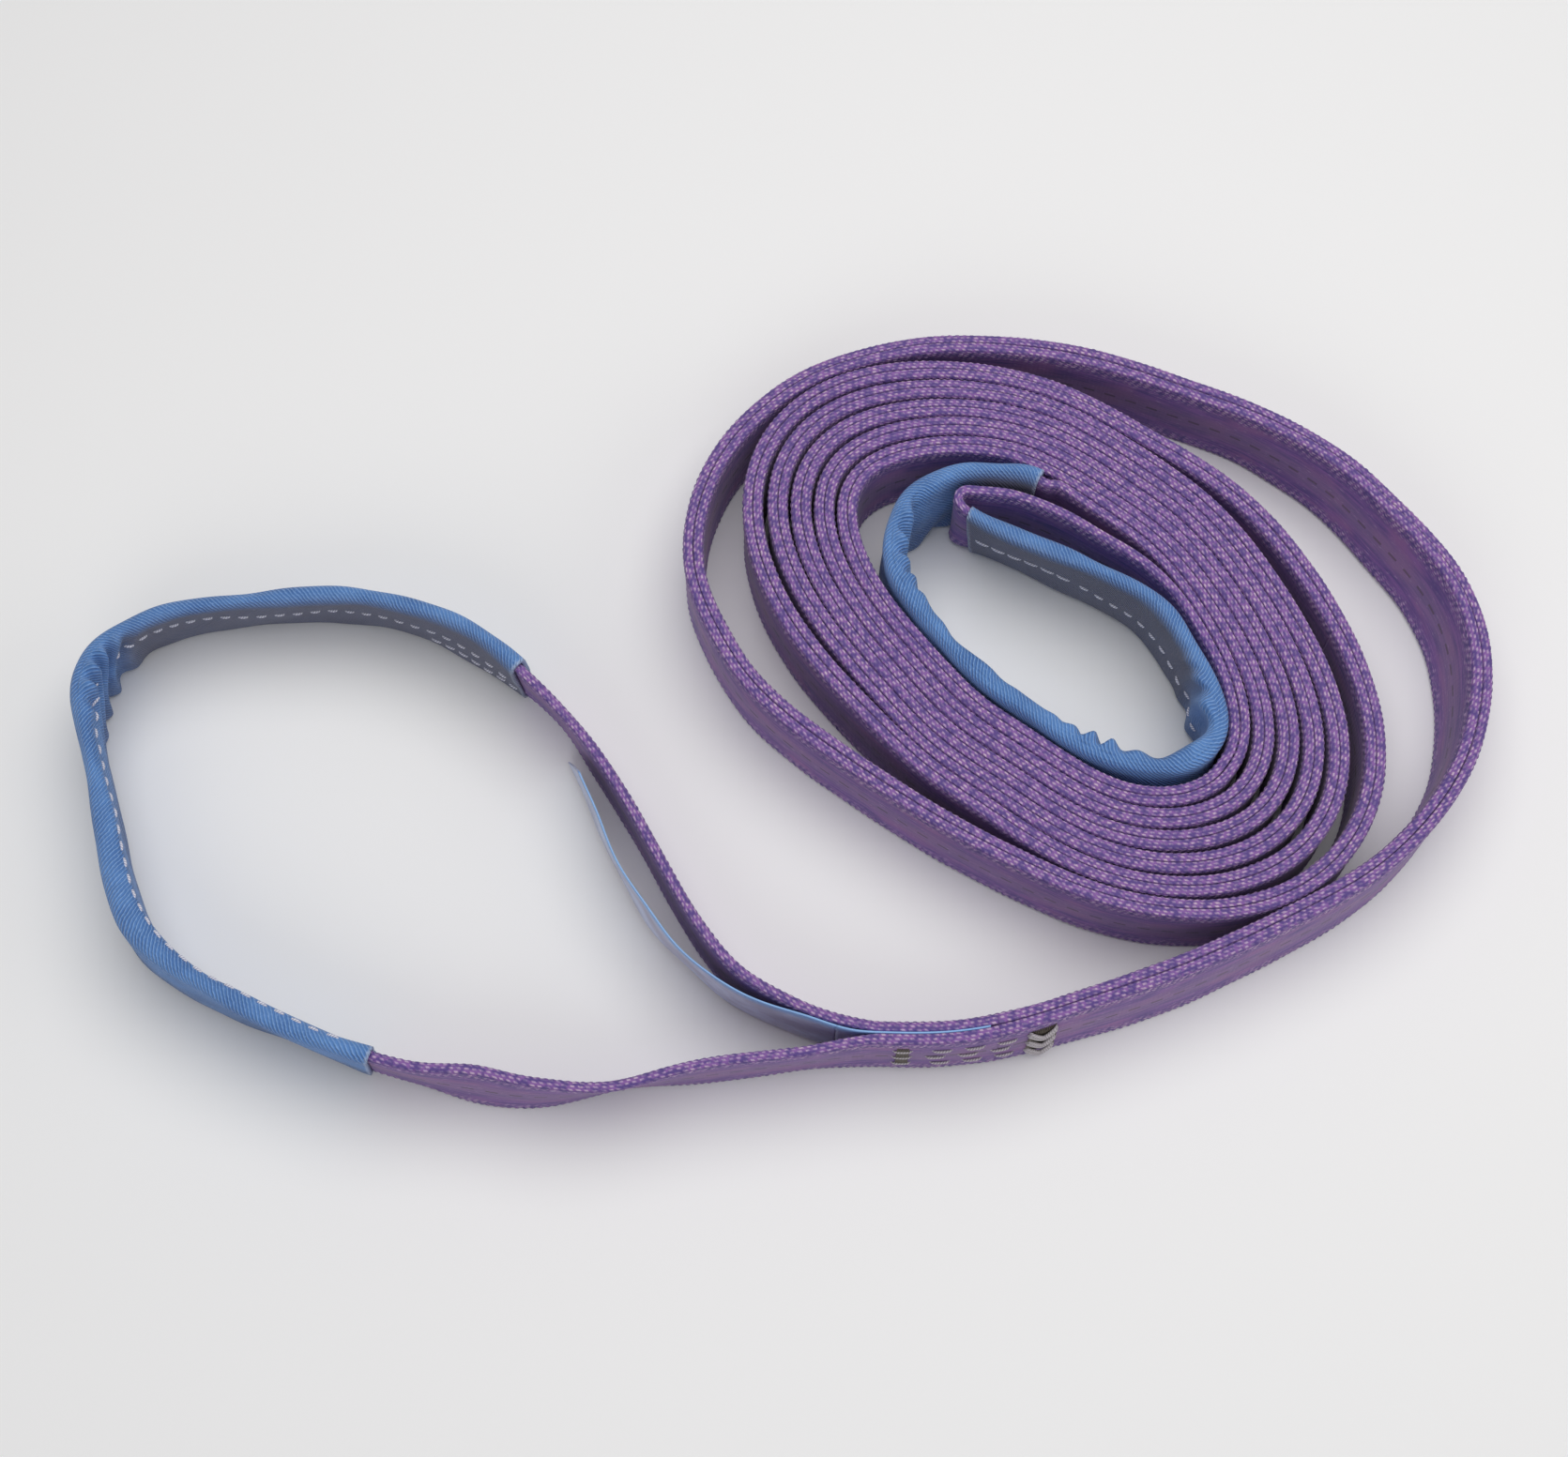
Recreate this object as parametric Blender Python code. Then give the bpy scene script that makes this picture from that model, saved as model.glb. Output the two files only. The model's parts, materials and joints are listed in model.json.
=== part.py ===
"""Flat web sling: two-ply polyester webbing with a soft eye at each end, put away as a coil that
stands on its edge, with one eye laid open beside it. Sizes are in millimetres until a mesh is made."""

import bpy
import bmesh
import numpy as np

# Driving sizes, in millimetres and degrees.
MM = 0.001
WEB_WIDTH = 30.0          # webbing width, which is its height as it stands on its edge
PLY = 2.9                 # thickness of one ply
CLEARANCE = 0.3           # between two layers that lie on each other
LABEL_THICKNESS = 0.5
LABEL_LIFT = 1.5          # lower edge of the label above the surface
LABEL_MARGIN = 2.5        # upper edge of the label below the edge of the webbing
SLEEVE_WALL = 1.3
SLEEVE_SPARE = 4.0        # how much wider the flat wear sleeve is than the webbing
SLEEVE_CHAMFER = 1.2
HOLLOW_CHAMFER = 0.5
LIFT_RUN = 24.0           # the webbing comes down over this length outside a sleeve
THREAD = 0.5              # how far a row of stitches stands out
THREAD_WIDTH = 1.2
SEAM_DROP = 3.5           # the sleeve's seam below its upper edge
SEAM_END = 4.0            # and short of the sleeve's ends
CHORD_ERROR = 0.08        # how far a facet may lie from the true curve
LONGEST_FACET = 15.0
SHORTEST_FACET = 1.6

# Hinge ranges that the ends of the plies leave room for, in degrees.
TAIL_SWING = (0.0, 20.0)
EYE_SWING = (-14.0, 25.0)
SWING_SPARE = 3.0

# The oval that the pack of turns follows: its radius every 20 degrees, from +X, anticlockwise.
OVAL_RADII = (76.8, 69.2, 66.9, 67.9, 74.8, 85.8, 98.1, 104.5, 91.6,
              72.5, 60.9, 57.4, 57.8, 64.3, 78.2, 93.2, 99.7, 90.7)
OVAL_HARMONICS = 8
UPPER_END = 139.0         # direction of the oval's upper left end, in degrees
LOWER_END = 319.0
UPPER_LOOSENESS = 0.19    # how much further apart the turns lie at that end
LOWER_LOOSENESS = 0.27
STATIONS_PER_TURN = 40
PACK_START = 300.0        # winding angle where the loose first turn settles on the pack
PACK_END = 2112.0         # winding angle of the second throat
ZERO_TURN = 720.0         # winding angle at which the oval is met exactly
CHOSEN_PITCH = 6.4        # spacing of the turns for which the routes below were chosen
CHOSEN_EYE_ROOM = 6.4     # room that the second eye's route leaves for the layers beside it
CHOSEN_LEG_ROOM = 5.9     # and between the sleeve and the leg that comes back inside it

# Stretches where the turns stand off each other: middle and half length of each, as a
# winding angle in degrees, and the distance in millimetres.
SLACK = ((365.0, 75.0, 5.0), (540.0, 45.0, 1.5))

# Routes chosen by hand, from the middle of the coil. Each point is x, y and the lean in degrees,
# which is how far the top edge tips to the left of the way along the route.
BODY_ROUTE = (
    (-56, -127, 0), (-36, -127, 0), (-20, -125, 1), (-5, -121.3, 3), (11, -116.5, 5),
    (32, -109.3, 6), (53, -100, 5), (74, -89.5, 4), (93.5, -77.5, 2), (109.5, -62.5, 0),
    (122.3, -43.5, -3), (128.3, -22.6, -8), (128.7, 0, -11), (121.5, 21.5, -11),
    (108.8, 39.6, -9), (96.5, 54.5, -6), (80.4, 67.5, -3), (65.5, 76.5, 0), (48.3, 83.7, 0),
    (16.9, 95.2, 0), (-17.7, 100.3, 0), (-38, 99.7, 0), (-55.3, 95.9, 0), (-74.2, 88.3, 0),
    (-90.4, 75.6, 0), (-102.7, 59.3, 0), (-109.6, 39.7, 0), (-109.8, 19.4, 0),
    (-102.5, 0, 0), (-92.6, -16.3, 0), (-80, -29.1, 0), (-56.3, -47.2, 0), (-35.5, -61.3, 0),
    (-13, -74, 0), (15.5, -86.2, 0), (33, -89.5, 0),
)
TAIL_HINGE_POINT = 9      # the tail bends away from the coil at this point of the route above
EYE_1_ROUTE = (
    (-68, -122.4, 0), (-82, -116.6, 0), (-94.3, -109.2, 0), (-104.3, -98.4, 0),
    (-112.3, -86.2, 0), (-119.8, -72.7, 0), (-128.6, -56.8, 0), (-142.6, -34.8, 2),
    (-150.5, -24, 6), (-163, -11.5, 6), (-179, 0.5, 4), (-197, 9.3, 9), (-217, 14, 11),
    (-246, 13, 13), (-269, 10, 13), (-286, 2.5, 12), (-295.5, -7.5, 8), (-298, -19, 6),
    (-294.5, -37, 6), (-287, -62, 6), (-281.5, -80, 5), (-274, -95, 3), (-262, -105.7, 0),
    (-248, -113.5, -3), (-232, -120.8, -6), (-215, -128, -6), (-203, -132.3, -5),
    (-187, -136.5, -3), (-171, -139.3, 5), (-160, -141, 2), (-148, -141.3, -4),
    (-130, -139, -13), (-117, -136.7, -8), (-103, -134.7, -4), (-90, -133, -4),
    (-76, -131.2, -5), (-64, -129.6, -2),
)
EYE_1_SLEEVE = (9, 26)    # the wear sleeve lies between these two points
EYE_2_ROUTE = (
    (3.3, 49.3, 0), (-2, 50.7, 0), (-13.5, 53.2, 0), (-25.7, 53.2, 0), (-34.6, 50, 0),
    (-42.3, 44.3, 0), (-46.8, 36.4, 0), (-48.4, 28.6, 0), (-46.4, 16.9, 0), (-40.8, 7.3, 0),
    (-33.4, -3.2, 0), (-26.4, -11.7, 0), (-18.4, -19.6, 0), (-10.3, -25.6, 0), (-3.3, -30.9, 0),
    (4.5, -36.5, 0), (12.2, -41, 0), (21.4, -43.9, 0), (32.3, -45.2, 0), (41.6, -43, 0),
    (46.9, -38, 0), (49, -28.6, 0), (46.8, -16.3, 2), (41.6, -4.4, 3), (35.8, 5.8, 4),
    (28.6, 13.4, 6), (19.4, 19.6, 8), (9, 25.2, 9), (-3, 31, 10), (-13.5, 36.2, 10),
    (-22.5, 40.4, 7), (-26.2, 42.6, 3), (-27.6, 44.9, 0), (-26.2, 47, 0), (-22.6, 47.4, 0),
    (-14, 46.9, 0), (-3, 43.6, 0), (7, 38.6, 0), (17.5, 31.7, 0), (27.9, 24.6, 0),
)
EYE_2_SLEEVE = (1, 30)
EYE_2_LEG_BACK = 31       # the points from here on are the leg that comes back
EYE_2_MIDDLE = (2.0, 2.0)
LEGS_LEAVE_PACK = (2236.0, 2180.0)   # winding angles, of the outer leg and of the inner leg
LABEL_ROUTE = (
    (-61.5, -126.5, 0), (-68, -124.8, 0),
    (-75, -122.2, 0), (-87, -117.6, 2), (-99, -111.4, 3), (-110, -102.5, 3),
    (-122.5, -88.5, 3), (-131, -75, 2), (-138, -60, 0), (-144, -46, -2), (-149, -33, -3),
)
LABEL_HINGE_POINT = 2
LABEL_SEWN = 34.0         # how far the label reaches into the throat between the plies
LABEL_TIP_CUT = 14.0      # how much further the lower corner of the label reaches

# Sewing on the outer face of a throat: from and to along the band from the throat, then the
# margin to the webbing's edges.
BAR_TACK = (5.0, 12.0, 4.0)
STITCH_ROW_RUN = (13.5, 43.0)
STITCH_ROWS = (-7.0, 0.0, 7.0)       # above the middle of the webbing
CHEVRON_TACK = (44.5, 54.0, 3.0)
THROAT_2_TACK = (2.0, 12.0, 3.0)

VIOLET = (0.185, 0.075, 0.330)
SKY_BLUE = (0.065, 0.230, 0.610)
PALE_BLUE = (0.420, 0.590, 0.800)
WHITE_THREAD = (0.750, 0.760, 0.800)
GREY_THREAD = (0.420, 0.400, 0.430)


def sleeve_width():
    return WEB_WIDTH + SLEEVE_SPARE


def clear_scene():
    for thing in list(bpy.data.objects):
        bpy.data.objects.remove(thing)


def material(name, colour, roughness):
    made = bpy.data.materials.new(name)
    made.use_nodes = True
    shader = made.node_tree.nodes["Principled BSDF"]
    shader.inputs["Base Color"].default_value = (*colour, 1.0)
    shader.inputs["Roughness"].default_value = roughness
    shader.inputs["Metallic"].default_value = 0.0
    made.diffuse_color = (*colour, 1.0)
    return made


def oval(angle):
    """Point and outward normal of the oval: its radii joined by a sum of cosines."""
    wave = np.fft.rfft(OVAL_RADII) / len(OVAL_RADII)
    wave[1:] *= 2
    order = np.arange(OVAL_HARMONICS + 1)
    turn = np.exp(1j * np.outer(angle, order)) * wave[order]
    radius = turn.real.sum(1)
    slope = (turn * 1j * order).real.sum(1)
    cos, sin = np.cos(angle), np.sin(angle)
    point = np.stack([radius * cos, radius * sin], 1)
    along = np.stack([slope * cos - radius * sin, slope * sin + radius * cos], 1)
    along /= np.linalg.norm(along, axis=1)[:, None]
    return point, np.stack([along[:, 1], -along[:, 0]], 1)


def oval_stations():
    """Angles round the oval, closer together where it bends."""
    angle = np.linspace(0, 2 * np.pi, 2881)
    point, normal = oval(angle)
    step = np.linalg.norm(np.diff(point, axis=0), axis=1)
    bend = np.abs(np.diff(np.unwrap(np.arctan2(normal[:, 1], normal[:, 0]))))
    share = np.concatenate([[0], np.cumsum(step / step.sum() + bend / bend.sum())])
    return np.degrees(np.interp(np.arange(STATIONS_PER_TURN) / STATIONS_PER_TURN, share / 2, angle))


def end_bump(degrees, end, height):
    return height * np.maximum(np.cos(np.radians(degrees - end)), 0) ** 8


def growth():
    """How much thicker a turn is than the one that the routes were chosen for."""
    return 2 * PLY + 2 * CLEARANCE - CHOSEN_PITCH


def pack_point(winding, outward=0.0):
    """The middle of the band at a winding angle, each turn one pitch further in than the last.
    Thicker webbing moves the turns outwards, from the innermost one on."""
    winding = np.atleast_1d(np.asarray(winding, float))
    point, normal = oval(np.radians(winding))
    pitch = CHOSEN_PITCH * (1 + end_bump(winding, UPPER_END, UPPER_LOOSENESS)
                            + end_bump(winding, LOWER_END, LOWER_LOOSENESS))
    inward = (winding - ZERO_TURN) / 360 * pitch + (winding - PACK_END) / 360 * growth()
    for middle, half, distance in SLACK:
        away = np.clip((winding - middle) / half, -1, 1)
        inward = inward - distance * np.cos(away * np.pi / 2) ** 2
    return point - normal * (inward - outward)[:, None]


def body_route():
    """The body's chosen points, moved out by what the turns inside them have grown. The tail and
    all that hangs on it move as one."""
    points = np.array(BODY_ROUTE, float)
    angle = np.unwrap(np.arctan2(points[:, 1], points[:, 0]))
    angle = angle - np.round(angle[TAIL_HINGE_POINT] / (2 * np.pi)) * 2 * np.pi
    angle[:TAIL_HINGE_POINT] = angle[TAIL_HINGE_POINT]
    turns = (PACK_END - np.degrees(angle)) / 360
    points[:, :2] += oval(angle)[1] * (turns * growth())[:, None]
    return points


def tail_shift():
    point = body_route()[TAIL_HINGE_POINT] - BODY_ROUTE[TAIL_HINGE_POINT]
    return np.array([point[0], point[1], 0.0])


def throat_half():
    """From the middle of the throat to the middle of a ply, with the label between the plies."""
    return (PLY + LABEL_THICKNESS) / 2 + CLEARANCE


def normal_of(along):
    along = along / np.linalg.norm(along, axis=1)[:, None]
    return np.stack([-along[:, 1], along[:, 0]], 1)


def spline(points):
    """Dense samples of the natural cubic curve through the points, and each point's place in them."""
    points = np.array(points, float)
    knots = np.concatenate([[0], np.cumsum(np.linalg.norm(np.diff(points[:, :2], axis=0), axis=1))])
    gap = np.diff(knots)
    rise = np.diff(points, axis=0) / gap[:, None]
    bend = np.eye(len(points))
    for i in range(1, len(points) - 1):
        bend[i, i - 1:i + 2] = gap[i - 1], 2 * (gap[i - 1] + gap[i]), gap[i]
    pull = np.zeros(points.shape)
    pull[1:-1] = 6 * np.diff(rise, axis=0)
    curve = np.linalg.solve(bend, pull)
    where = np.linspace(0, knots[-1], int(knots[-1] / 0.2) + 2)
    piece = np.clip(np.searchsorted(knots, where, side="right") - 1, 0, len(gap) - 1)
    h = gap[piece][:, None]
    right = ((where - knots[piece])[:, None]) / h
    left = 1 - right
    bulge = (left ** 3 - left) * curve[piece] + (right ** 3 - right) * curve[piece + 1]
    return left * points[piece] + right * points[piece + 1] + bulge * h * h / 6, where, knots


def spline_path(points, first=0, last=None):
    """Stations along the curve from one of its points to another, closer together where it bends.
    A station is x, y, the normal to the left, the lean and the lift."""
    dense, where, knots = spline(points)
    last = len(points) - 1 if last is None else last
    normal = normal_of(np.gradient(dense[:, :2], axis=0))
    heading = np.unwrap(np.arctan2(normal[:, 1], normal[:, 0]))
    curvature = np.abs(np.gradient(heading, where))
    curvature = np.convolve(np.pad(curvature, 15, mode="edge"), np.ones(31) / 31, mode="valid")
    spacing = np.clip(np.sqrt(8 * CHORD_ERROR / np.maximum(curvature, 1e-6)), SHORTEST_FACET, LONGEST_FACET)
    inside = (where >= knots[first] - 1e-9) & (where <= knots[last] + 1e-9)
    where, dense, normal, spacing = where[inside], dense[inside], normal[inside], spacing[inside]
    share = np.concatenate([[0], np.cumsum(np.diff(where) / spacing[1:])])
    wanted = np.interp(np.linspace(0, share[-1], int(np.ceil(share[-1])) + 1), share, where)
    columns = np.column_stack([dense[:, :2], normal, dense[:, 2], np.zeros(len(dense))])
    return np.stack([np.interp(wanted, where, column) for column in columns.T], 1)


def pack_path(start, end, outward=0.0):
    """Stations of the pack, the same directions in every turn so that the facets lie parallel."""
    turns = np.arange(int(start // 360), int(end // 360) + 1) * 360
    winding = (oval_stations()[None, :] + turns[:, None]).ravel()
    winding = winding[(winding > start + 0.5) & (winding < end - 0.5)]
    winding = np.concatenate([[start], winding, [end]])
    normal = -oval(np.radians(winding))[1]
    return np.column_stack([pack_point(winding, outward), normal, np.zeros((len(winding), 2))])


def joined(*paths):
    """Paths end to end; where one starts where the last ended, the shared station is kept once."""
    kept = [paths[0]]
    for path in paths[1:]:
        near = np.linalg.norm(path[0, :2] - kept[-1][-1, :2]) < 1e-6
        kept.append(path[1:] if near else path)
    return np.concatenate(kept)


def lengths(path):
    return np.concatenate([[0], np.cumsum(np.linalg.norm(np.diff(path[:, :2], axis=0), axis=1))])


def between(path, start, end):
    """The part of a path between two lengths along it. Its facets stay as they were."""
    run = lengths(path)
    inside = (run > start + 1e-3) & (run < end - 1e-3)
    wanted = np.concatenate([[start], run[inside], [end]])
    return np.stack([np.interp(wanted, run, column) for column in path.T], 1)


def split(path, cuts):
    """The path in parts, with a clearance at each cut."""
    ends = [0.0, *cuts, lengths(path)[-1]]
    parts = []
    for i in range(len(ends) - 1):
        start = ends[i] + (CLEARANCE / 2 if i else 0)
        end = ends[i + 1] - (CLEARANCE / 2 if i < len(cuts) else 0)
        parts.append(between(path, start, end))
    return parts


def where_on(path, point):
    """Length along a path of the place nearest to a point: the nearest foot on any of its facets."""
    run = lengths(path)
    facet = np.diff(path[:, :2], axis=0)
    away = np.array(point[:2]) - path[:-1, :2]
    share = np.clip((away * facet).sum(1) / (facet ** 2).sum(1), 0, 1)
    nearest = np.argmin(np.linalg.norm(away - facet * share[:, None], axis=1))
    return run[nearest] + share[nearest] * (run[nearest + 1] - run[nearest])


def ring(path, corners):
    """The corners of the cross-section at each station. A corner is an offset to the left and a
    height; the lean shifts it sideways in proportion to its height above the middle."""
    x, y, nx, ny, lean, lift = path.T[:, :, None]
    tilt = np.radians(lean)
    height = corners[..., 1] + lift
    side = corners[..., 0] + np.tan(tilt) * (height - WEB_WIDTH / 2)
    return np.stack([x + nx * side, y + ny * side, height * np.cos(tilt)], 2)


def swept(name, rings, look, hollow=None):
    """One closed body from rings of corners, with ends capped, or open to a hollow inside. Every
    side is split from its lower corner to the next upper one, so that neighbours twist alike."""
    count, corners = rings.shape[:2]
    vertices = rings.reshape(-1, 3)
    first = np.arange(count - 1)[:, None] * corners
    k = np.arange(corners)
    after = (k + 1) % corners
    rising = rings[0, after, 2] >= rings[0, k, 2]
    near, far = np.where(rising, k, after), np.where(rising, after, k)
    low = np.stack([first + near, first + corners + near, first + corners + far], 2)
    high = np.stack([first + near, first + corners + far, first + far], 2)
    low = np.where(rising[:, None], low, low[..., ::-1])
    high = np.where(rising[:, None], high, high[..., ::-1])
    sides = np.concatenate([low, high])
    faces = sides.reshape(-1, 3).tolist()
    last = (count - 1) * corners
    if hollow is None:
        faces.append(k.tolist())
        faces.append((last + k[::-1]).tolist())
    else:
        inner = len(vertices)
        vertices = np.concatenate([vertices, hollow.reshape(-1, 3)])
        faces += (sides[..., ::-1] + inner).reshape(-1, 3).tolist()
        faces += np.stack([k, after, inner + after, inner + k], 1).tolist()
        faces += np.stack([last + after, last + k, inner + last + k, inner + last + after], 1).tolist()
    mesh = bpy.data.meshes.new(name)
    mesh.from_pydata((vertices * MM).tolist(), [], faces)
    shape = bmesh.new()
    shape.from_mesh(mesh)
    bmesh.ops.recalc_face_normals(shape, faces=shape.faces)
    shape.to_mesh(mesh)
    shape.free()
    mesh.shade_smooth()
    mesh.set_sharp_from_angle(angle=np.radians(30))
    mesh.materials.append(look)
    made = bpy.data.objects.new(name, mesh)
    bpy.context.scene.collection.objects.link(made)
    return made


def strip(name, path, look, middle=0.0, thickness=PLY, low=0.0, high=WEB_WIDTH, start_cut=0.0,
          end_cut=0.0, pivot=0.0, top_cut=0.0):
    """A flat strip standing on its edge. Its ends can be cut aslant, as seen from above, to leave
    room for a bend about the pivot, and its end can be cut back at the top."""
    near, far = middle - thickness / 2, middle + thickness / 2
    corners = np.array([[near, low], [near, high], [far, high], [far, low]])
    rings = ring(path, np.repeat(corners[None], len(path), 0))
    if top_cut:
        run = lengths(path)
        top = between(path, 0, run[-1])
        back = run * (run[-1] - top_cut) / run[-1]
        top = np.stack([np.interp(back, run, column) for column in top.T], 1)
        rings[:, 1:3] = ring(top, np.repeat(corners[None], len(path), 0))[:, 1:3]
    along = np.stack([path[:, 3], -path[:, 2]], 1)
    reach = np.abs(corners[:, 0] - pivot)[:, None]
    rings[0, :, :2] += along[0] * reach * np.tan(np.radians(start_cut))
    rings[-1, :, :2] -= along[-1] * reach * np.tan(np.radians(end_cut))
    return swept(name, rings, look)


def tube_section(width, height, chamfer, middle_height):
    x, z = width / 2, height / 2
    c = chamfer
    corners = [(-x, -z + c), (-x, z - c), (-x + c, z), (x - c, z), (x, z - c), (x, -z + c),
               (x - c, -z), (-x + c, -z)]
    return np.array(corners) + [0, middle_height]


def sleeve(name, path, look):
    """A flat tube, open at both ends, that the webbing runs through."""
    room, width = PLY + 2 * CLEARANCE, sleeve_width()
    outside = tube_section(room + 2 * SLEEVE_WALL, width, SLEEVE_CHAMFER, width / 2)
    hollow = tube_section(room, width - 2 * SLEEVE_WALL, HOLLOW_CHAMFER, width / 2)
    path = path.copy()
    path[:, 5] = 0
    outer = ring(path, np.repeat(outside[None], len(path), 0))
    inner = ring(path, np.repeat(hollow[None], len(path), 0))
    return swept(name, outer, look, inner)


def lifted(path, start, end):
    """The path raised between two lengths to lie midway up the sleeve, and sloping down outside it."""
    run = lengths(path)
    steps = np.linspace(0, LIFT_RUN, 4)
    extra = np.concatenate([start - steps, end + steps])
    wanted = np.unique(np.concatenate([run, extra[(extra > 1) & (extra < run[-1] - 1)]]))
    path = np.stack([np.interp(wanted, run, column) for column in path.T], 1)
    beyond = np.maximum(np.maximum(start - wanted, wanted - end), 0)
    fall = np.clip(beyond / LIFT_RUN, 0, 1)
    path[:, 5] = SLEEVE_SPARE / 2 * (1 - fall * fall * (3 - 2 * fall))
    return path


def body_path():
    """The middle of the two-ply body from the first throat to the second."""
    settle = [(*point, 0.0) for point in pack_point([PACK_START, PACK_START + 12, PACK_START + 24])]
    loose = spline_path([*body_route(), *settle], 0, len(BODY_ROUTE))
    return joined(loose, pack_path(PACK_START, PACK_END))


def body(look):
    """Tail and turns, each as an outer and an inner ply. The plies part a little where the sewn
    end of the label lies between them."""
    path = body_path()
    cuts = [where_on(path, body_route()[TAIL_HINGE_POINT])]
    cuts += [where_on(path, pack_point(turn * 360.0)[0]) for turn in range(1, 6)]
    parts = split(path, cuts)
    run = lengths(parts[0])
    spread = throat_half() - (PLY + CLEARANCE) / 2
    spread = spread * np.clip((LABEL_SEWN + 18 - run) / 14, 0, 1)
    for side, word in ((-1, "outer"), (1, "inner")):
        tail = parts[0].copy()
        tail[:, :2] += tail[:, 2:4] * (side * spread)[:, None]
        middle = side * (PLY + CLEARANCE) / 2
        cut = TAIL_SWING[1] + SWING_SPARE if side < 0 else 0.0
        strip(f"tail_{word}_ply", tail, look, middle, end_cut=cut)
        for number, part in enumerate(parts[1:], 1):
            strip(f"turn_{number}_{word}_ply", part, look, middle)


def eye_1(web, sleeve_look, thread):
    throat = np.array(BODY_ROUTE[0], float)
    half = np.array([0, throat_half(), 0])
    route = np.array([throat + half, *EYE_1_ROUTE, throat - half]) + tail_shift()
    path = spline_path(route)
    start, end = (where_on(path, route[point + 1]) for point in EYE_1_SLEEVE)
    path = lifted(path, start, end)
    path = between(path, CLEARANCE, lengths(path)[-1] - CLEARANCE)
    upper, bight, lower = split(path, (start + 3, end - 3))
    half = throat_half()
    strip("eye_1_upper_leg", upper, web, start_cut=SWING_SPARE - EYE_SWING[0], pivot=half)
    strip("eye_1_bight", bight, web)
    strip("eye_1_lower_leg", lower, web, end_cut=EYE_SWING[1] + SWING_SPARE, pivot=half)
    cover = between(path, start, end)
    sleeve("eye_1_sleeve", cover, sleeve_look)
    seam("eye_1_sleeve_seam", cover, 1, thread)


def eye_2(web, sleeve_look, thread):
    ply = (PLY + CLEARANCE) / 2
    outer = pack_path(PACK_END, LEGS_LEAVE_PACK[0], ply)
    inner = pack_path(PACK_END, LEGS_LEAVE_PACK[1], -ply)
    back = inner[::-1].copy()
    back[:, 2:4] *= -1
    route = np.array(EYE_2_ROUTE, float)
    room = (PLY + CLEARANCE / 2) + (PLY / 2 + CLEARANCE + SLEEVE_WALL) + CLEARANCE
    inward = np.array(EYE_2_MIDDLE) - route[:, :2]
    inward /= np.linalg.norm(inward, axis=1)[:, None]
    route[:, :2] += inward * (room - CHOSEN_EYE_ROOM)
    room = PLY + SLEEVE_WALL + THREAD + 4 * CLEARANCE
    route[EYE_2_LEG_BACK:, :2] += inward[EYE_2_LEG_BACK:] * (room - CHOSEN_LEG_ROOM)
    lead = [(x, y, 0.0) for x, y in outer[-3:, :2]]
    tail = [(x, y, 0.0) for x, y in back[:3, :2]]
    free = spline_path([*lead, *route, *tail], 2, 3 + len(route))
    path = joined(outer, free, back)
    start, end = (where_on(path, route[point]) for point in EYE_2_SLEEVE)
    path = lifted(path, start, end)
    path = between(path, CLEARANCE, lengths(path)[-1] - CLEARANCE)
    outer_leg, bight, inner_leg = split(path, (start + 3, end - 3))
    strip("eye_2_outer_leg", outer_leg, web)
    strip("eye_2_bight", bight, web)
    strip("eye_2_inner_leg", inner_leg, web)
    cover = between(path, start, end)
    sleeve("eye_2_sleeve", cover, sleeve_look)
    seam("eye_2_sleeve_seam", cover, 1, thread)


def seam(name, cover, side, look):
    """The row of stitches that closes the sleeve, on its inner face near the top."""
    run = lengths(cover)[-1]
    middle = side * (PLY / 2 + CLEARANCE + SLEEVE_WALL + CLEARANCE + THREAD / 2)
    path = between(cover, SEAM_END, run - SEAM_END)
    path[:, 5] = 0
    high = sleeve_width() - SEAM_DROP
    strip(name, path, look, middle, THREAD, high - THREAD_WIDTH, high)


def label(look):
    sewn = between(body_path(), CLEARANCE / 2, LABEL_SEWN)
    route = np.array([BODY_ROUTE[0], *LABEL_ROUTE], float) + tail_shift()
    path = spline_path(route)
    path = between(path, CLEARANCE / 2, lengths(path)[-1])
    neck, free = split(path, [where_on(path, route[LABEL_HINGE_POINT + 1])])
    size = dict(thickness=LABEL_THICKNESS, low=LABEL_LIFT, high=WEB_WIDTH - LABEL_MARGIN)
    strip("label_sewn_end", sewn, look, **size)
    strip("label_neck", neck, look, **size)
    strip("label_free_end", free, look, **size, top_cut=LABEL_TIP_CUT)


def throats(thread, bar):
    path = body_path()
    face = -(throat_half() + PLY / 2 + CLEARANCE + THREAD / 2)

    def sewn(name, size, look):
        start, end, margin = size
        strip(name, between(path, start, end), look, face, THREAD, margin, WEB_WIDTH - margin)

    sewn("throat_1_bar_tack", BAR_TACK, bar)
    for number, height in enumerate(STITCH_ROWS, 1):
        low = WEB_WIDTH / 2 + height - THREAD_WIDTH / 2
        strip(f"throat_1_stitch_row_{number}", between(path, *STITCH_ROW_RUN), thread, face,
              THREAD, low, low + THREAD_WIDTH)
    sewn("throat_1_chevron_tack", CHEVRON_TACK, thread)
    start, end, margin = THROAT_2_TACK
    last = lengths(path)[-1]
    middle = PLY + CLEARANCE / 2 + CLEARANCE + THREAD / 2
    strip("throat_2_tack", between(path, last - end, last - start), bar, middle, THREAD, margin,
          WEB_WIDTH - margin)


def frame(name, place, parent, prefixes):
    """An empty at a place, with the objects whose names start so as its children."""
    empty = bpy.data.objects.new(name, None)
    empty.location = [value * MM for value in (*place[:2], 0.0)]
    bpy.context.scene.collection.objects.link(empty)
    for thing in [o for o in bpy.data.objects if o.type == "MESH" and o.name.startswith(prefixes)]:
        for vertex in thing.data.vertices:
            vertex.co = vertex.co - empty.location
        thing.parent = empty
    if parent:
        empty.parent = parent
        above = parent
        while above:
            empty.location = empty.location - above.location
            above = above.parent
    return empty


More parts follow.
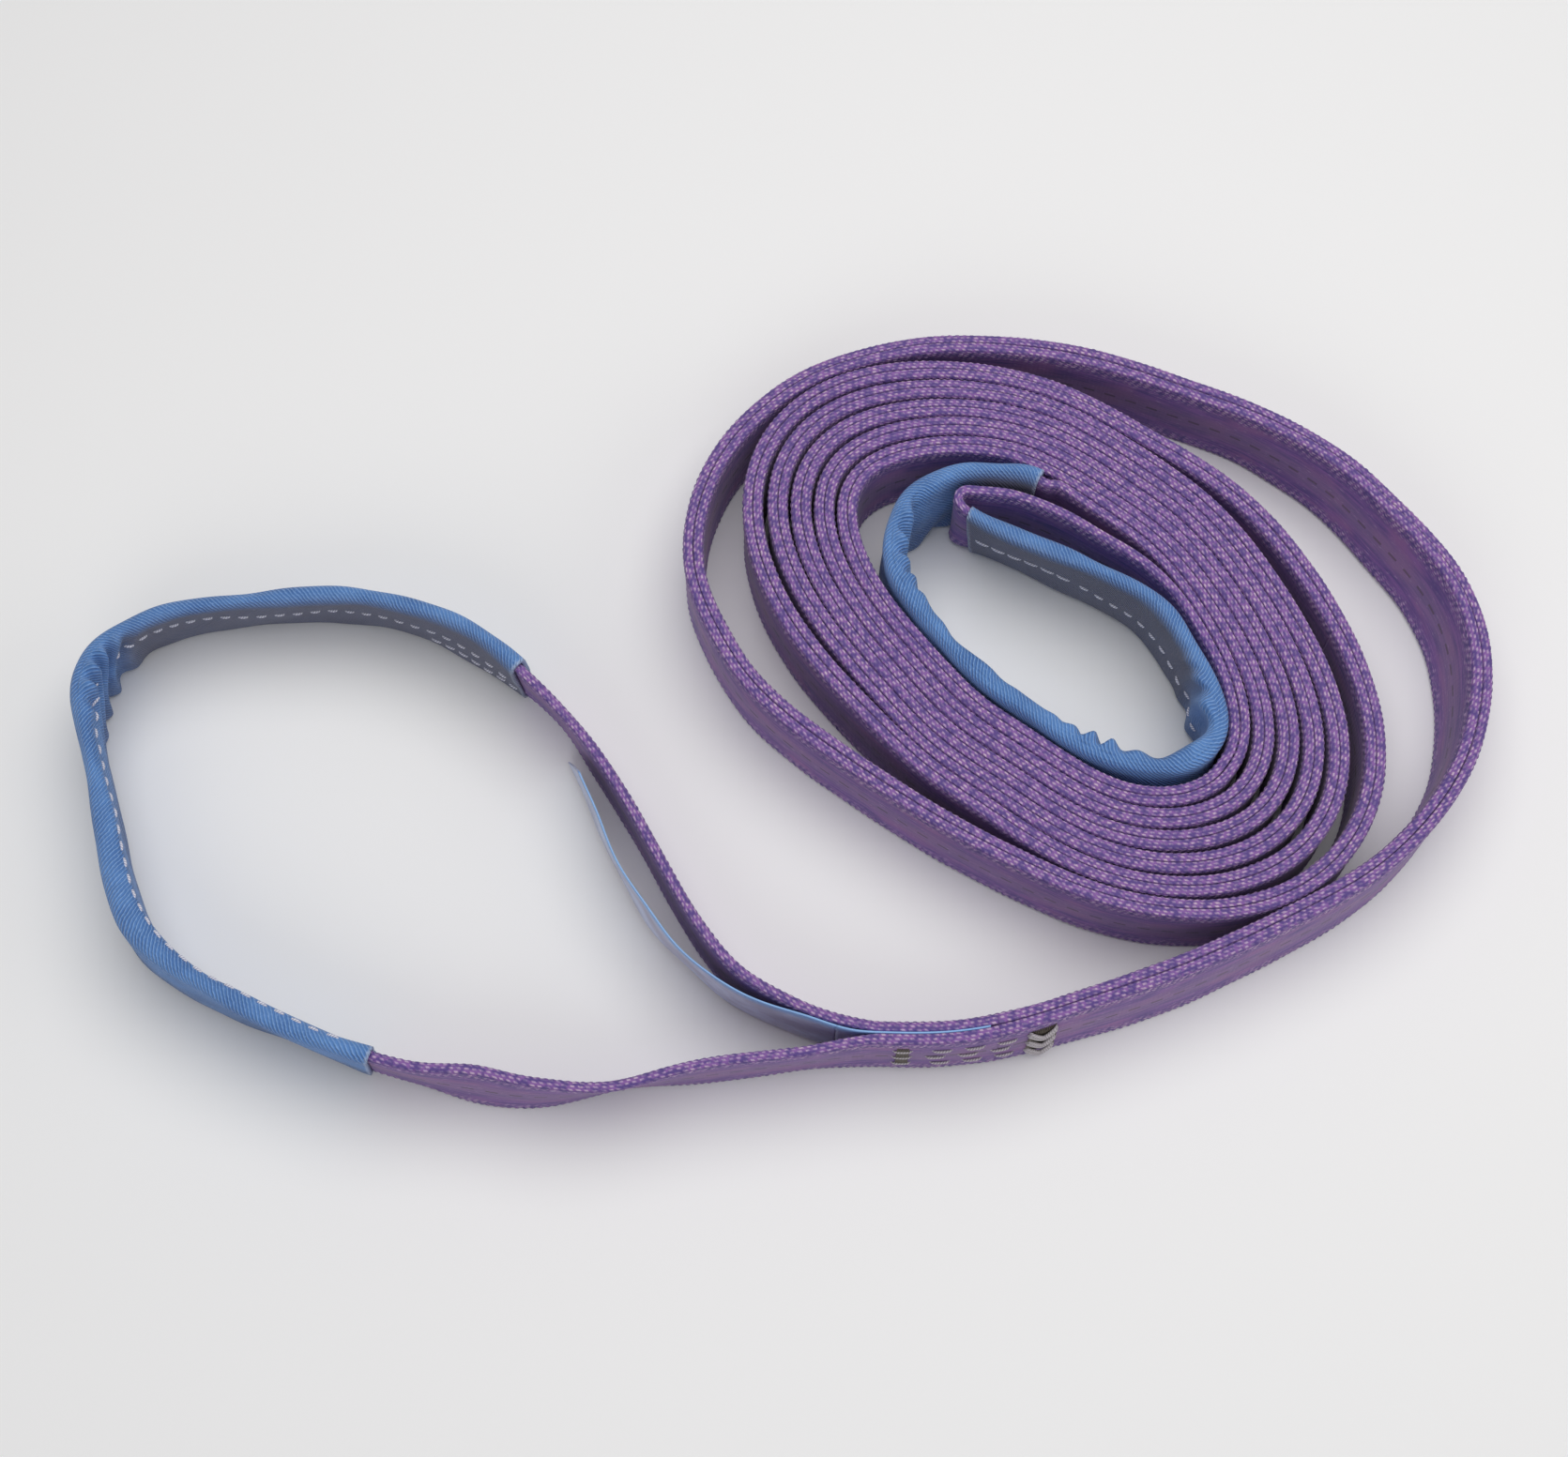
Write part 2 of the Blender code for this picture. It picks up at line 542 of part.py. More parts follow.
def place_in_frames():
    """Each moving body hangs on an empty on its hinge axis. The origin is the middle of the whole
    object's box, at its lowest point."""
    shapes = [o for o in bpy.data.objects if o.type == "MESH"]
    corners = np.concatenate([np.array([v.co for v in shape.data.vertices]) for shape in shapes])
    low, high = corners.min(0), corners.max(0)
    shift = tail_shift()
    hinge = body_route()[TAIL_HINGE_POINT]
    coil = frame("coil_frame", (0, 0), None, ("turn_", "eye_2_", "throat_2_"))
    tail = frame("tail_frame", hinge, coil, ("tail_", "label_sewn", "throat_1_"))
    eye = frame("outer_eye_frame", BODY_ROUTE[0] + shift, tail, ("eye_1_", "label_neck"))
    frame("label_frame", LABEL_ROUTE[LABEL_HINGE_POINT] + shift, eye, ("label_free",))
    coil.location = [-(low[0] + high[0]) / 2, -(low[1] + high[1]) / 2, -low[2]]


clear_scene()
webbing = material("violet webbing", VIOLET, 0.85)
sleeving = material("blue sleeve", SKY_BLUE, 0.8)
tag = material("pale blue label", PALE_BLUE, 0.6)
stitching = material("white thread", WHITE_THREAD, 0.7)
tacking = material("grey thread", GREY_THREAD, 0.7)
body(webbing)
eye_1(webbing, sleeving, stitching)
eye_2(webbing, sleeving, stitching)
label(tag)
throats(stitching, tacking)
place_in_frames()
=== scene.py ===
import json

import bmesh
import bpy
import numpy as np
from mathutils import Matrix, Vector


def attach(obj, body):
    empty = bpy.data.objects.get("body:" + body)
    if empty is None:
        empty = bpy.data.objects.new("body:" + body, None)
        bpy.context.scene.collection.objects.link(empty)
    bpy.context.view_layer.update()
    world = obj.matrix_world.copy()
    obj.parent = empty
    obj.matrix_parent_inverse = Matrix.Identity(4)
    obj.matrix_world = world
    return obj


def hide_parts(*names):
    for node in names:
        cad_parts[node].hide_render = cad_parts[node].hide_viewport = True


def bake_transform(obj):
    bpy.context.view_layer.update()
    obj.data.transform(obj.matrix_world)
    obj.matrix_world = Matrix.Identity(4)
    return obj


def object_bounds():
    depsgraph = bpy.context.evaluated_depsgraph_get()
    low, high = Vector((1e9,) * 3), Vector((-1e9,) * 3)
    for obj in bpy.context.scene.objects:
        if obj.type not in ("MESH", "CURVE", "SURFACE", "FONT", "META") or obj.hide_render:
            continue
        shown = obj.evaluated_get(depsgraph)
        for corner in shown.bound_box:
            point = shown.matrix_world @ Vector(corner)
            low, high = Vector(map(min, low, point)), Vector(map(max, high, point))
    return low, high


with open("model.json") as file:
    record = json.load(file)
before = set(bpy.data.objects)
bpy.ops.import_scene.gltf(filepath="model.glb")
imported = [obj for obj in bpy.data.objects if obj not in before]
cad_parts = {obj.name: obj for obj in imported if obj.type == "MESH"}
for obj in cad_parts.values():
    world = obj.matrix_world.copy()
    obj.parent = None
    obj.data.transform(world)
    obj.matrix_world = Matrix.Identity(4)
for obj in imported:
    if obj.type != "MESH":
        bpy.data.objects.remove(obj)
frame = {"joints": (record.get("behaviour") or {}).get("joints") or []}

cad_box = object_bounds()

# The camera stands in front of the sling and looks down on it steeply, from about arm's length.
# It aims a little below and in front of the middle of the whole object.
CAMERA_ELEVATION = np.radians(69)
CAMERA_DISTANCE = 0.75
CAMERA_LENS = 55.6
CAMERA_AIM = np.array([0.0015, -0.0067, -0.002])

middle = (np.array(cad_box[0]) + np.array(cad_box[1])) / 2
camera = bpy.data.objects.new("camera", bpy.data.cameras.new("camera"))
bpy.context.scene.collection.objects.link(camera)
back_and_up = np.array([0, -np.cos(CAMERA_ELEVATION), np.sin(CAMERA_ELEVATION)])
camera.location = middle + CAMERA_AIM + CAMERA_DISTANCE * back_and_up
camera.rotation_euler = (np.pi / 2 - CAMERA_ELEVATION, 0, 0)
camera.data.sensor_fit = "HORIZONTAL"
camera.data.sensor_width = 36
camera.data.lens = CAMERA_LENS
camera.data.clip_start = 0.01
bpy.context.scene.camera = camera
bpy.context.scene.view_settings.view_transform = "Standard"

# The line of the webbing. One endless length of 30 mm webbing makes the whole sling: out along
# the outer ply, round the small eye, back along the inner ply and round the large eye. These are
# the listed routes of the coil, in millimetres from its middle, with the lean in degrees.
MM = 0.001
WEB_WIDTH = 30.0
PLY_SPACING = 3.2           # between the middles of the two plies
THROAT_SPACING = 4.0        # and where the label is sewn between them
LABEL_SEWN = 34.0           # the length of label that lies between the plies
CLOSING_RUN = (4.0, 18.0)   # past it the plies close up, between these two distances
SLEEVE_SPARE = 4.0          # the sleeves are this much wider than the webbing
LIFT_RUN = 24.0             # the webbing rises into a sleeve over this length
DRAWN_STEP = 0.25
OVAL_RADII = (76.8, 69.2, 66.9, 67.9, 74.8, 85.8, 98.1, 104.5, 91.6,
              72.5, 60.9, 57.4, 57.8, 64.3, 78.2, 93.2, 99.7, 90.7)
OVAL_HARMONICS = 8
PACK_PITCH = 6.4
PACK_ENDS = ((139.0, 0.19), (319.0, 0.27))  # directions where the turns lie further apart, by a share
PACK_ENDS_POWER = 8
PACK_SLACK = ((365.0, 75.0, 5.0), (540.0, 45.0, 1.5))   # slack turns: middle, half length, distance
PACK_START, PACK_END = 300.0, 2112.0        # winding angles, in degrees
ZERO_TURN = 720.0                           # the winding angle where the pack has the oval's own radii
WINDING_STEP = 0.25
PACK_JOIN = np.array([0, 12, 24])           # a free line meets the pack by running through these of
LEG_JOIN = np.array([0, 8, 16])             # its points, as angles from where they meet
BODY_ROUTE = (
    (-56, -127, 0), (-36, -127, 0), (-20, -125, 1), (-5, -121.3, 3), (11, -116.5, 5),
    (32, -109.3, 6), (53, -100, 5), (74, -89.5, 4), (93.5, -77.5, 2), (109.5, -62.5, 0),
    (122.3, -43.5, -3), (128.3, -22.6, -8), (128.7, 0, -11), (121.5, 21.5, -11),
    (108.8, 39.6, -9), (96.5, 54.5, -6), (80.4, 67.5, -3), (65.5, 76.5, 0), (48.3, 83.7, 0),
    (16.9, 95.2, 0), (-17.7, 100.3, 0), (-38, 99.7, 0), (-55.3, 95.9, 0), (-74.2, 88.3, 0),
    (-90.4, 75.6, 0), (-102.7, 59.3, 0), (-109.6, 39.7, 0), (-109.8, 19.4, 0),
    (-102.5, 0, 0), (-92.6, -16.3, 0), (-80, -29.1, 0), (-56.3, -47.2, 0), (-35.5, -61.3, 0),
    (-13, -74, 0), (15.5, -86.2, 0), (33, -89.5, 0),
)
TAIL_HINGE = BODY_ROUTE[9]
EYE_1_ROUTE = (
    (-68, -122.4, 0), (-82, -116.6, 0), (-94.3, -109.2, 0), (-104.3, -98.4, 0),
    (-112.3, -86.2, 0), (-119.8, -72.7, 0), (-128.6, -56.8, 0), (-142.6, -34.8, 2),
    (-150.5, -24, 6), (-163, -11.5, 6), (-179, 0.5, 4), (-197, 9.3, 9), (-217, 14, 11),
    (-246, 13, 13), (-269, 10, 13), (-286, 2.5, 12), (-295.5, -7.5, 8), (-298, -19, 6),
    (-294.5, -37, 6), (-287, -62, 6), (-281.5, -80, 5), (-274, -95, 3), (-262, -105.7, 0),
    (-248, -113.5, -3), (-232, -120.8, -6), (-215, -128, -6), (-203, -132.3, -5),
    (-187, -136.5, -3), (-171, -139.3, 5), (-160, -141, 2), (-148, -141.3, -4),
    (-130, -139, -13), (-117, -136.7, -8), (-103, -134.7, -4), (-90, -133, -4),
    (-76, -131.2, -5), (-64, -129.6, -2),
)
EYE_1_SLEEVE = (EYE_1_ROUTE[9], EYE_1_ROUTE[26])
EYE_2_ROUTE = (
    (3.3, 49.3, 0), (-2, 50.7, 0), (-13.5, 53.2, 0), (-25.7, 53.2, 0), (-34.6, 50, 0),
    (-42.3, 44.3, 0), (-46.8, 36.4, 0), (-48.4, 28.6, 0), (-46.4, 16.9, 0), (-40.8, 7.3, 0),
    (-33.4, -3.2, 0), (-26.4, -11.7, 0), (-18.4, -19.6, 0), (-10.3, -25.6, 0), (-3.3, -30.9, 0),
    (4.5, -36.5, 0), (12.2, -41, 0), (21.4, -43.9, 0), (32.3, -45.2, 0), (41.6, -43, 0),
    (46.9, -38, 0), (49, -28.6, 0), (46.8, -16.3, 2), (41.6, -4.4, 3), (35.8, 5.8, 4),
    (28.6, 13.4, 6), (19.4, 19.6, 8), (9, 25.2, 9), (-3, 31, 10), (-13.5, 36.2, 10),
    (-22.5, 40.4, 7), (-26.2, 42.6, 3), (-27.6, 44.9, 0), (-26.2, 47, 0), (-22.6, 47.4, 0),
    (-14, 46.9, 0), (-3, 43.6, 0), (7, 38.6, 0), (17.5, 31.7, 0), (27.9, 24.6, 0),
)
EYE_2_SLEEVE = (EYE_2_ROUTE[1], EYE_2_ROUTE[30])
LEGS_LEAVE_PACK = (2236.0, 2180.0)
WEB_STEP = 0.58
SAME_PLACE = 0.001

joint_at = {joint["name"]: np.array(joint["pos_m"][:2]) for joint in frame["joints"]}
coil_middle = joint_at["tail_swing"] - np.array(TAIL_HINGE[:2]) * MM


def drawn_through(points, first=0, last=None):
    """A smooth line: the natural cubic curve through the points, over the distances between
    them, from one of the points to another."""
    points = np.array(points, float)
    gap = np.linalg.norm(np.diff(points[:, :2], axis=0), axis=1)
    knots = np.concatenate([[0], np.cumsum(gap)])
    bend = np.eye(len(points))
    for i in range(1, len(points) - 1):
        bend[i, i - 1:i + 2] = gap[i - 1], 2 * (gap[i - 1] + gap[i]), gap[i]
    pull = np.zeros(points.shape)
    pull[1:-1] = 6 * np.diff(np.diff(points, axis=0) / gap[:, None], axis=0)
    curve = np.linalg.solve(bend, pull)
    start, end = knots[first], knots[-1 if last is None else last]
    where = np.linspace(start, end, int((end - start) / DRAWN_STEP) + 2)
    piece = np.clip(np.searchsorted(knots, where, side="right") - 1, 0, len(gap) - 1)
    h = gap[piece][:, None]
    right = (where - knots[piece])[:, None] / h
    left = 1 - right
    bulge = (left ** 3 - left) * curve[piece] + (right ** 3 - right) * curve[piece + 1]
    return left * points[piece] + right * points[piece + 1] + bulge * h * h / 6


def packed(winding, outward=0.0):
    """The pack of turns: an oval whose radius is a sum of cosines of the direction, moved in
    along its own normal by a share of the pitch that grows with the winding angle, and back out
    by a squared cosine where a turn is slack."""
    angle = np.radians(winding)
    wave = np.fft.rfft(OVAL_RADII) / len(OVAL_RADII)
    wave[1:] *= 2
    order = np.arange(OVAL_HARMONICS + 1)
    turn = np.exp(1j * np.outer(angle, order)) * wave[order]
    radius, slope = turn.real.sum(1), (turn * 1j * order).real.sum(1)
    cos, sin = np.cos(angle), np.sin(angle)
    along = np.stack([slope * cos - radius * sin, slope * sin + radius * cos], 1)
    along /= np.linalg.norm(along, axis=1)[:, None]
    loose = sum(share * np.maximum(np.cos(np.radians(winding - end)), 0) ** PACK_ENDS_POWER
                for end, share in PACK_ENDS)
    inward = (winding - ZERO_TURN) / 360 * PACK_PITCH * (1 + loose)
    for place, half, distance in PACK_SLACK:
        away = np.clip((winding - place) / half, -1, 1)
        inward = inward - distance * np.cos(away * np.pi / 2) ** 2
    outwards = np.stack([along[:, 1], -along[:, 0]], 1)
    point = np.stack([radius * cos, radius * sin], 1) - outwards * (inward - outward)[:, None]
    return np.column_stack([point, np.zeros(len(point))])


def run_of(line):
    """Length along a line at each of its points."""
    return np.concatenate([[0], np.cumsum(np.linalg.norm(np.diff(line[:, :2], axis=0), axis=1))])


def nearest(line, place):
    """Number of the point of a line that lies nearest to a place."""
    return np.argmin(np.linalg.norm(line[:, :2] - np.array(place[:2]), axis=1))


def left_of(line):
    """The unit normal to the left of the way along a line."""
    along = np.gradient(line[:, :2], axis=0)
    along /= np.linalg.norm(along, axis=1)[:, None]
    return np.stack([-along[:, 1], along[:, 0]], 1)


def raised_for(line, sleeve):
    """The lift that brings the webbing to the middle of a sleeve between the sleeve's two ends,
    easing down to nothing outside it."""
    run = run_of(line)
    start, end = (run[nearest(line, point)] for point in sleeve)
    fall = np.clip(np.maximum(start - run, run - end) / LIFT_RUN, 0, 1)
    return SLEEVE_SPARE / 2 * (1 - fall * fall * (3 - 2 * fall))


loose_turn = drawn_through([*BODY_ROUTE, *packed(PACK_START + PACK_JOIN)], 0, len(BODY_ROUTE))
pack_line = packed(np.arange(PACK_START, PACK_END + WINDING_STEP / 2, WINDING_STEP))
body_line = np.concatenate([loose_turn, pack_line[1:]])
body_run = run_of(body_line)
body_left = left_of(body_line)
winding = np.degrees(np.unwrap(np.arctan2(body_line[:, 1], body_line[:, 0])))
closing = LABEL_SEWN + CLOSING_RUN[1] - body_run
parted = np.clip(closing / (CLOSING_RUN[1] - CLOSING_RUN[0]), 0, 1)
apart = (PLY_SPACING + (THROAT_SPACING - PLY_SPACING) * parted) / 2
outer_ply, inner_ply = body_line.copy(), body_line.copy()
outer_ply[:, :2] -= body_left * apart[:, None]
inner_ply[:, :2] += body_left * apart[:, None]
inner_ply[:, 2] *= -1

throat = np.array(BODY_ROUTE[0], float)
half_throat = np.array([0, THROAT_SPACING / 2, 0])
eye_1_line = drawn_through([throat + half_throat, *EYE_1_ROUTE, throat - half_throat])
half_step = WINDING_STEP / 2
leg_out = packed(np.arange(PACK_END, LEGS_LEAVE_PACK[0] + half_step, WINDING_STEP), PLY_SPACING / 2)
leg_back = packed(np.arange(LEGS_LEAVE_PACK[1], PACK_END - half_step, -WINDING_STEP), -PLY_SPACING / 2)
lead = packed(LEGS_LEAVE_PACK[0] - LEG_JOIN[::-1], PLY_SPACING / 2)
trail = packed(LEGS_LEAVE_PACK[1] - LEG_JOIN, -PLY_SPACING / 2)
eye_2_free = drawn_through([*lead, *EYE_2_ROUTE, *trail], 2, 3 + len(EYE_2_ROUTE))
eye_2_line = np.concatenate([leg_out, eye_2_free[1:], leg_back[1:]])

# The webbing as a table with a row for each point: x, y, lean, lift, whether the ply lies alone,
# how far it reaches towards its partner, winding angle, and which of the four stretches it is in.
PLY_GAP = 0.08              # each ply keeps this far from the middle between the two
LABEL_ROOM = 0.28           # and this much further where the label is sewn in
ALONE_HALF = 1.35           # how far a ply that lies alone reaches on that side
SMOOTHED = 3                # steps to both sides that the line is evened out over
OUTER, EYE_2, INNER, EYE_1 = range(4)
stretches = []
for stretch, line, lift in ((OUTER, outer_ply, None), (EYE_2, eye_2_line, EYE_2_SLEEVE),
                            (INNER, inner_ply[::-1], None), (EYE_1, eye_1_line, EYE_1_SLEEVE)):
    columns = np.zeros((len(line), 8))
    columns[:, :3] = line
    columns[:, 7] = stretch
    if lift is None:
        towards = apart - PLY_GAP - LABEL_ROOM * (body_run < LABEL_SEWN + 1)
        columns[:, 5:7] = np.stack([towards, winding], 1)[::1 if stretch == OUTER else -1]
    else:
        columns[:, 3] = raised_for(line, lift)
        columns[:, 4:6] = 1, ALONE_HALF
    stretches.append(columns)
rough = np.concatenate(stretches)
moved = np.linalg.norm(np.diff(rough[:, :2], axis=0), axis=1)
rough = rough[np.append(True, moved > SAME_PLACE)]
rough_run = run_of(rough)
web_length = rough_run[-1]
web_count = int(round(web_length / WEB_STEP))
web_step = web_length / web_count


def evened(columns):
    """Values at even steps round the endless webbing, each the mean of its neighbours."""
    even = np.arange(web_count) * web_step
    found = np.stack([np.interp(even, rough_run, column) for column in columns.T], 1)
    wide = np.concatenate([found[-SMOOTHED:], found, found[:SMOOTHED]])
    weights = np.ones(2 * SMOOTHED + 1) / (2 * SMOOTHED + 1)
    return np.stack([np.convolve(column, weights, "valid") for column in wide.T], 1)


web_line = evened(rough[:, :6])
ahead = np.roll(web_line[:, :2], -1, axis=0) - np.roll(web_line[:, :2], 1, axis=0)
ahead /= np.linalg.norm(ahead, axis=1)[:, None]
web_left = np.stack([-ahead[:, 1], ahead[:, 0]], 1)


def station(stretch, winding=None, point=None):
    """Number of the step round the webbing at a winding angle, or nearest to a point."""
    here = np.flatnonzero(rough[:, 7] == stretch)
    if point is None:
        away = np.abs(rough[here, 6] - winding)
    else:
        away = np.linalg.norm(rough[here, :2] - np.array(point[:2]), axis=1)
    return int(round(rough_run[here[np.argmin(away)]] / web_step))


def beside(x, y, left, lean, side, height):
    """A point beside a line, in metres: moved to the left by its offset and by its height above
    the middle times the tangent of the lean, at its height times the cosine of the lean."""
    tilt = np.radians(lean)
    out = side + np.tan(tilt) * (height - WEB_WIDTH / 2)
    flat = np.stack([x + left[..., 0] * out, y + left[..., 1] * out], -1) * MM + coil_middle
    return np.concatenate([flat, (height * np.cos(tilt) * MM)[..., None]], -1)


# The webbing itself: heavy violet polyester, woven with a thick weft whose loops stand out as
# staggered grains along both edges, and a smooth face with long warp streaks. Each ply is a
# rounded slab 30 mm wide, carried on its edge along the line.
HALF_INNER, HALF_OUTER = 1.52, 1.42     # from a ply's middle towards its partner, and away from it
ROUND_INNER, ROUND_OUTER = 0.4, 1.15
CORNER_POINTS = 9
EDGE_STEPS = np.arange(-8, 8.01, 0.5)   # columns of the mesh: round the upper edge, down the faces
FACE_STEPS = np.array([2.2, 4.7, 7.2, 9.7, 12.2, 14.7, 17.2])   # from there, and round the lower edge
FOOT_STEPS = np.array([0, 0.9, 1.7, 2.4, 3.6])
FOOT_ROOM = 4.6
NUDGE, SAME_FACE = 0.05, 0.02
GRAIN_LENGTH, GRAIN_ROW = 2.2, 1.12     # spacing of the edge loops along and across
GRAIN_SKEW = 0.6                        # each loop lies aslant by this much
GRAIN_SWAY, SWAY_RUN = 0.22, 5.3        # and wanders along by a sine
GRAIN_ALONG, GRAIN_ACROSS = (-0.7, 0.45), (0.3, 0.95)   # where the two waves rise to a loop
GRAIN_HEIGHT = 0.36
GRAIN_UNEVEN, UNEVEN_RUN, UNEVEN_SLOPE = 0.22, 3.7, 2.3
GRAIN_BETWEEN = 0.12                    # share of a loop's height that is left between two plies
GRAIN_REACH = (4.0, 7.5)                # the loops fade between these distances from the edge
RISE, RISE_RUN, RISE_SHIFT = 0.25, 29.0, 0.6    # the edge wanders up and down by a sine
SEAM_PITCH, SEAM_EDGE, SEAM_DASH = 7.2, (0.3, 0.7), (-0.2, 0.1)    # dashes at half the face's height
SEAM_SHARE = 0.6
RIB_PITCH, RIB_RELIEF, STREAK_RELIEF, FLECK_RELIEF = 1.4, 0.06, 0.5, 0.5
# WEB_BLUE and WEB_VIOLET between the edge loops are partly painted shade in the gaps, and GRAIN_LILAC and
# GRAIN_CREAM on the loops are partly a painted highlight.
WEB_VIOLET = (0.245, 0.115, 0.370)
WEB_BLUE = (0.105, 0.062, 0.250)
WEB_PLUM = (0.275, 0.125, 0.330)
WEB_GREY = (0.250, 0.165, 0.310)
GRAIN_LILAC = (0.500, 0.370, 0.590)
GRAIN_CREAM = (0.610, 0.460, 0.620)
SEAM_OLIVE = (0.060, 0.045, 0.040)
SWAY_NOISE, UNEVEN_NOISE, RAGGED_NOISE = (260, 500, 1), (380, 620, 1), (300, 100, 1)
STREAK_NOISE, FLECK_NOISE, PATCH_NOISE = (70, 800, 1), (330, 1500, 1), (45, 120, 1)
SWAY_SIZE, RAGGED_SIZE = 1.5, 6.0
# Where a noise turns one colour into the next, and between which shares of it.
LOOPS_SHOW, FLECKS_SHOW = (0.35, 0.68, 0.15, 1.0), (0.62, 0.74, 0, 0.55)
STREAKS_SHOW, PLUM_SHOWS, YARNS_MIX = (0.35, 0.65), (0.45, 0.70), (0.40, 0.60)
GREY_SHOWS = (8.0, 15.0, 0, 0.55)       # the face is greyer between these distances from the edge
WEB_RELIEF = (0.55, 0.40)               # strength and depth
WEB_GLOSS = {"Roughness": 0.72, "Specular IOR Level": 0.3, "Sheen Weight": 0.12, "Sheen Roughness": 0.5}


def rounded_slab():
    """Cross-section of a ply as offset and height, against the distance round it from the middle
    of the upper edge: straight runs joined by quarter circles, from the lower edge round the
    right, the top and the left."""
    corners = ((-HALF_OUTER, 0, ROUND_OUTER, 270, 180), (-HALF_OUTER, WEB_WIDTH, ROUND_OUTER, 180, 90),
               (HALF_INNER, WEB_WIDTH, ROUND_INNER, 90, 0), (HALF_INNER, 0, ROUND_INNER, 0, -90))
    outline = [[(0, 0)]]
    for side, height, radius, start, end in corners:
        turn = np.radians(np.linspace(start, end, CORNER_POINTS))
        centre = np.array([side - np.sign(side) * radius, abs(height - radius)])
        outline.append(centre + radius * np.stack([np.cos(turn), np.sin(turn)], 1))
    outline = np.concatenate([*outline, [(0, 0)]])
    run = run_of(outline)
    over_top = slice(CORNER_POINTS, 3 * CORNER_POINTS + 1)
    return outline, run - np.interp(0, outline[over_top, 0], run[over_top])


slab, slab_round = rounded_slab()
slab_low, slab_high = slab_round[0], slab_round[-1]
slab_v = np.concatenate([
    slab_low + FOOT_STEPS,
    EDGE_STEPS[0] - FACE_STEPS[FACE_STEPS < EDGE_STEPS[0] - slab_low - FOOT_ROOM][::-1],
    EDGE_STEPS,
    EDGE_STEPS[-1] + FACE_STEPS[FACE_STEPS < slab_high - EDGE_STEPS[-1] - FOOT_ROOM],
    slab_high - FOOT_STEPS[:0:-1]])


def on_slab(v):
    """Points of the slab's outline at distances round it."""
    return np.stack([np.interp(v, slab_round, column) for column in slab.T], 1)


slab_points = on_slab(slab_v)
slab_way = on_slab(slab_v + NUDGE) - on_slab(slab_v - NUDGE)
slab_way /= np.linalg.norm(slab_way, axis=1)[:, None]
slab_out = np.stack([-slab_way[:, 1], slab_way[:, 0]], 1)
slab_out[0] = (0, -1)


def mesh_of(name, points, u, v, material, closed=True):
    """A tube of quads from rings of points: each ring joins the next, and the last column joins
    the first. A closed one gets a flat face at each end. UV is u along and v round, in metres."""
    rows, columns = points.shape[:2]
    i, k = np.arange(rows - 1)[:, None], np.arange(columns)[None, :]
    after = (k + 1) % columns
    near, far = i * columns, (i + 1) * columns
    quads = np.stack([near + k, far + k, far + after, near + after], 2)
    loops = quads.ravel()
    start = np.arange(quads.shape[0] * columns) * 4

    def at_corners(grid):
        return np.stack([grid[:-1, :-1], grid[1:, :-1], grid[1:, 1:], grid[:-1, 1:]], 2).ravel()

    u_grid = np.broadcast_to(u[:, None] if u.ndim == 1 else u, (rows, columns))
    corners_u = at_corners(np.concatenate([u_grid, u_grid[:, :1]], 1))
    corners_v = at_corners(np.broadcast_to(v, (rows, columns + 1)))
    smooth = np.ones(len(start), bool)
    if closed:
        ring = np.arange(columns)
        first, last = ring, (rows - 1) * columns + ring[::-1]
        start = np.concatenate([start, [len(loops), len(loops) + columns]])
        loops = np.concatenate([loops, first, last])
        corners_u = np.concatenate([corners_u, u_grid[0], u_grid[-1][::-1]])
        corners_v = np.concatenate([corners_v, v[:-1], v[:-1][::-1]])
        smooth = np.concatenate([smooth, [False, False]])
    mesh = bpy.data.meshes.new(name)
    mesh.vertices.add(rows * columns)
    mesh.vertices.foreach_set("co", points.astype(np.float32).ravel())
    mesh.loops.add(len(loops))
    mesh.loops.foreach_set("vertex_index", loops.astype(np.int32))
    mesh.polygons.add(len(start))
    mesh.polygons.foreach_set("loop_start", start.astype(np.int32))
    mesh.polygons.foreach_set("use_smooth", smooth)
    mesh.uv_layers.new(name="UVMap")
    flat = np.stack([corners_u, corners_v], 1).astype(np.float32)
    mesh.uv_layers["UVMap"].uv.foreach_set("vector", flat.ravel())
    mesh.update(calc_edges=True)
    mesh.validate()
    mesh.materials.append(material)
    piece = bpy.data.objects.new(name, mesh)
    bpy.context.scene.collection.objects.link(piece)
    return piece


def eased(low, high, value):
    """0 below low, 1 above high, and a smooth S between."""
    share = np.clip((value - low) / (high - low), 0, 1)
    return share * share * (3 - 2 * share)


def grains(u, v):
    """How far the edge loops stand out: where a cosine along and a cosine across are both high,
    with every other row half a loop on, fading down the face from each edge."""
    from_edge = np.minimum(np.abs(v), (slab_high - slab_low) / 2 - np.abs(v))
    across = np.cos(np.pi * v / GRAIN_ROW)
    sway = GRAIN_SWAY * np.sin(u / SWAY_RUN + v) + GRAIN_SKEW * v
    along = np.cos(2 * np.pi * (u + sway) / GRAIN_LENGTH) * np.sign(across)
    uneven = 1 - GRAIN_UNEVEN + GRAIN_UNEVEN * np.sin(u / UNEVEN_RUN + UNEVEN_SLOPE * v)
    loop = eased(*GRAIN_ALONG, along) * eased(*GRAIN_ACROSS, np.abs(across))
    return loop * uneven * (1 - eased(*GRAIN_REACH, from_edge))


def new_material(name):
    """A new material, its node tree and its shader."""
    material = bpy.data.materials.new(name)
    material.use_nodes = True
    shader = material.node_tree.nodes["Principled BSDF"]
    return material, material.node_tree, shader


def add(tree, kind, inputs, output=0, **settings):
    """A new shader node: settings are its properties, inputs its values or the sockets that feed
    them. Returns one of its outputs."""
    node = tree.nodes.new("ShaderNode" + kind)
    for key, value in settings.items():
        setattr(node, key, value)
    for key, value in inputs.items():
        if isinstance(value, bpy.types.NodeSocket):
            tree.links.new(value, node.inputs[key])
        else:
            node.inputs[key].default_value = value
    return node.outputs[output]


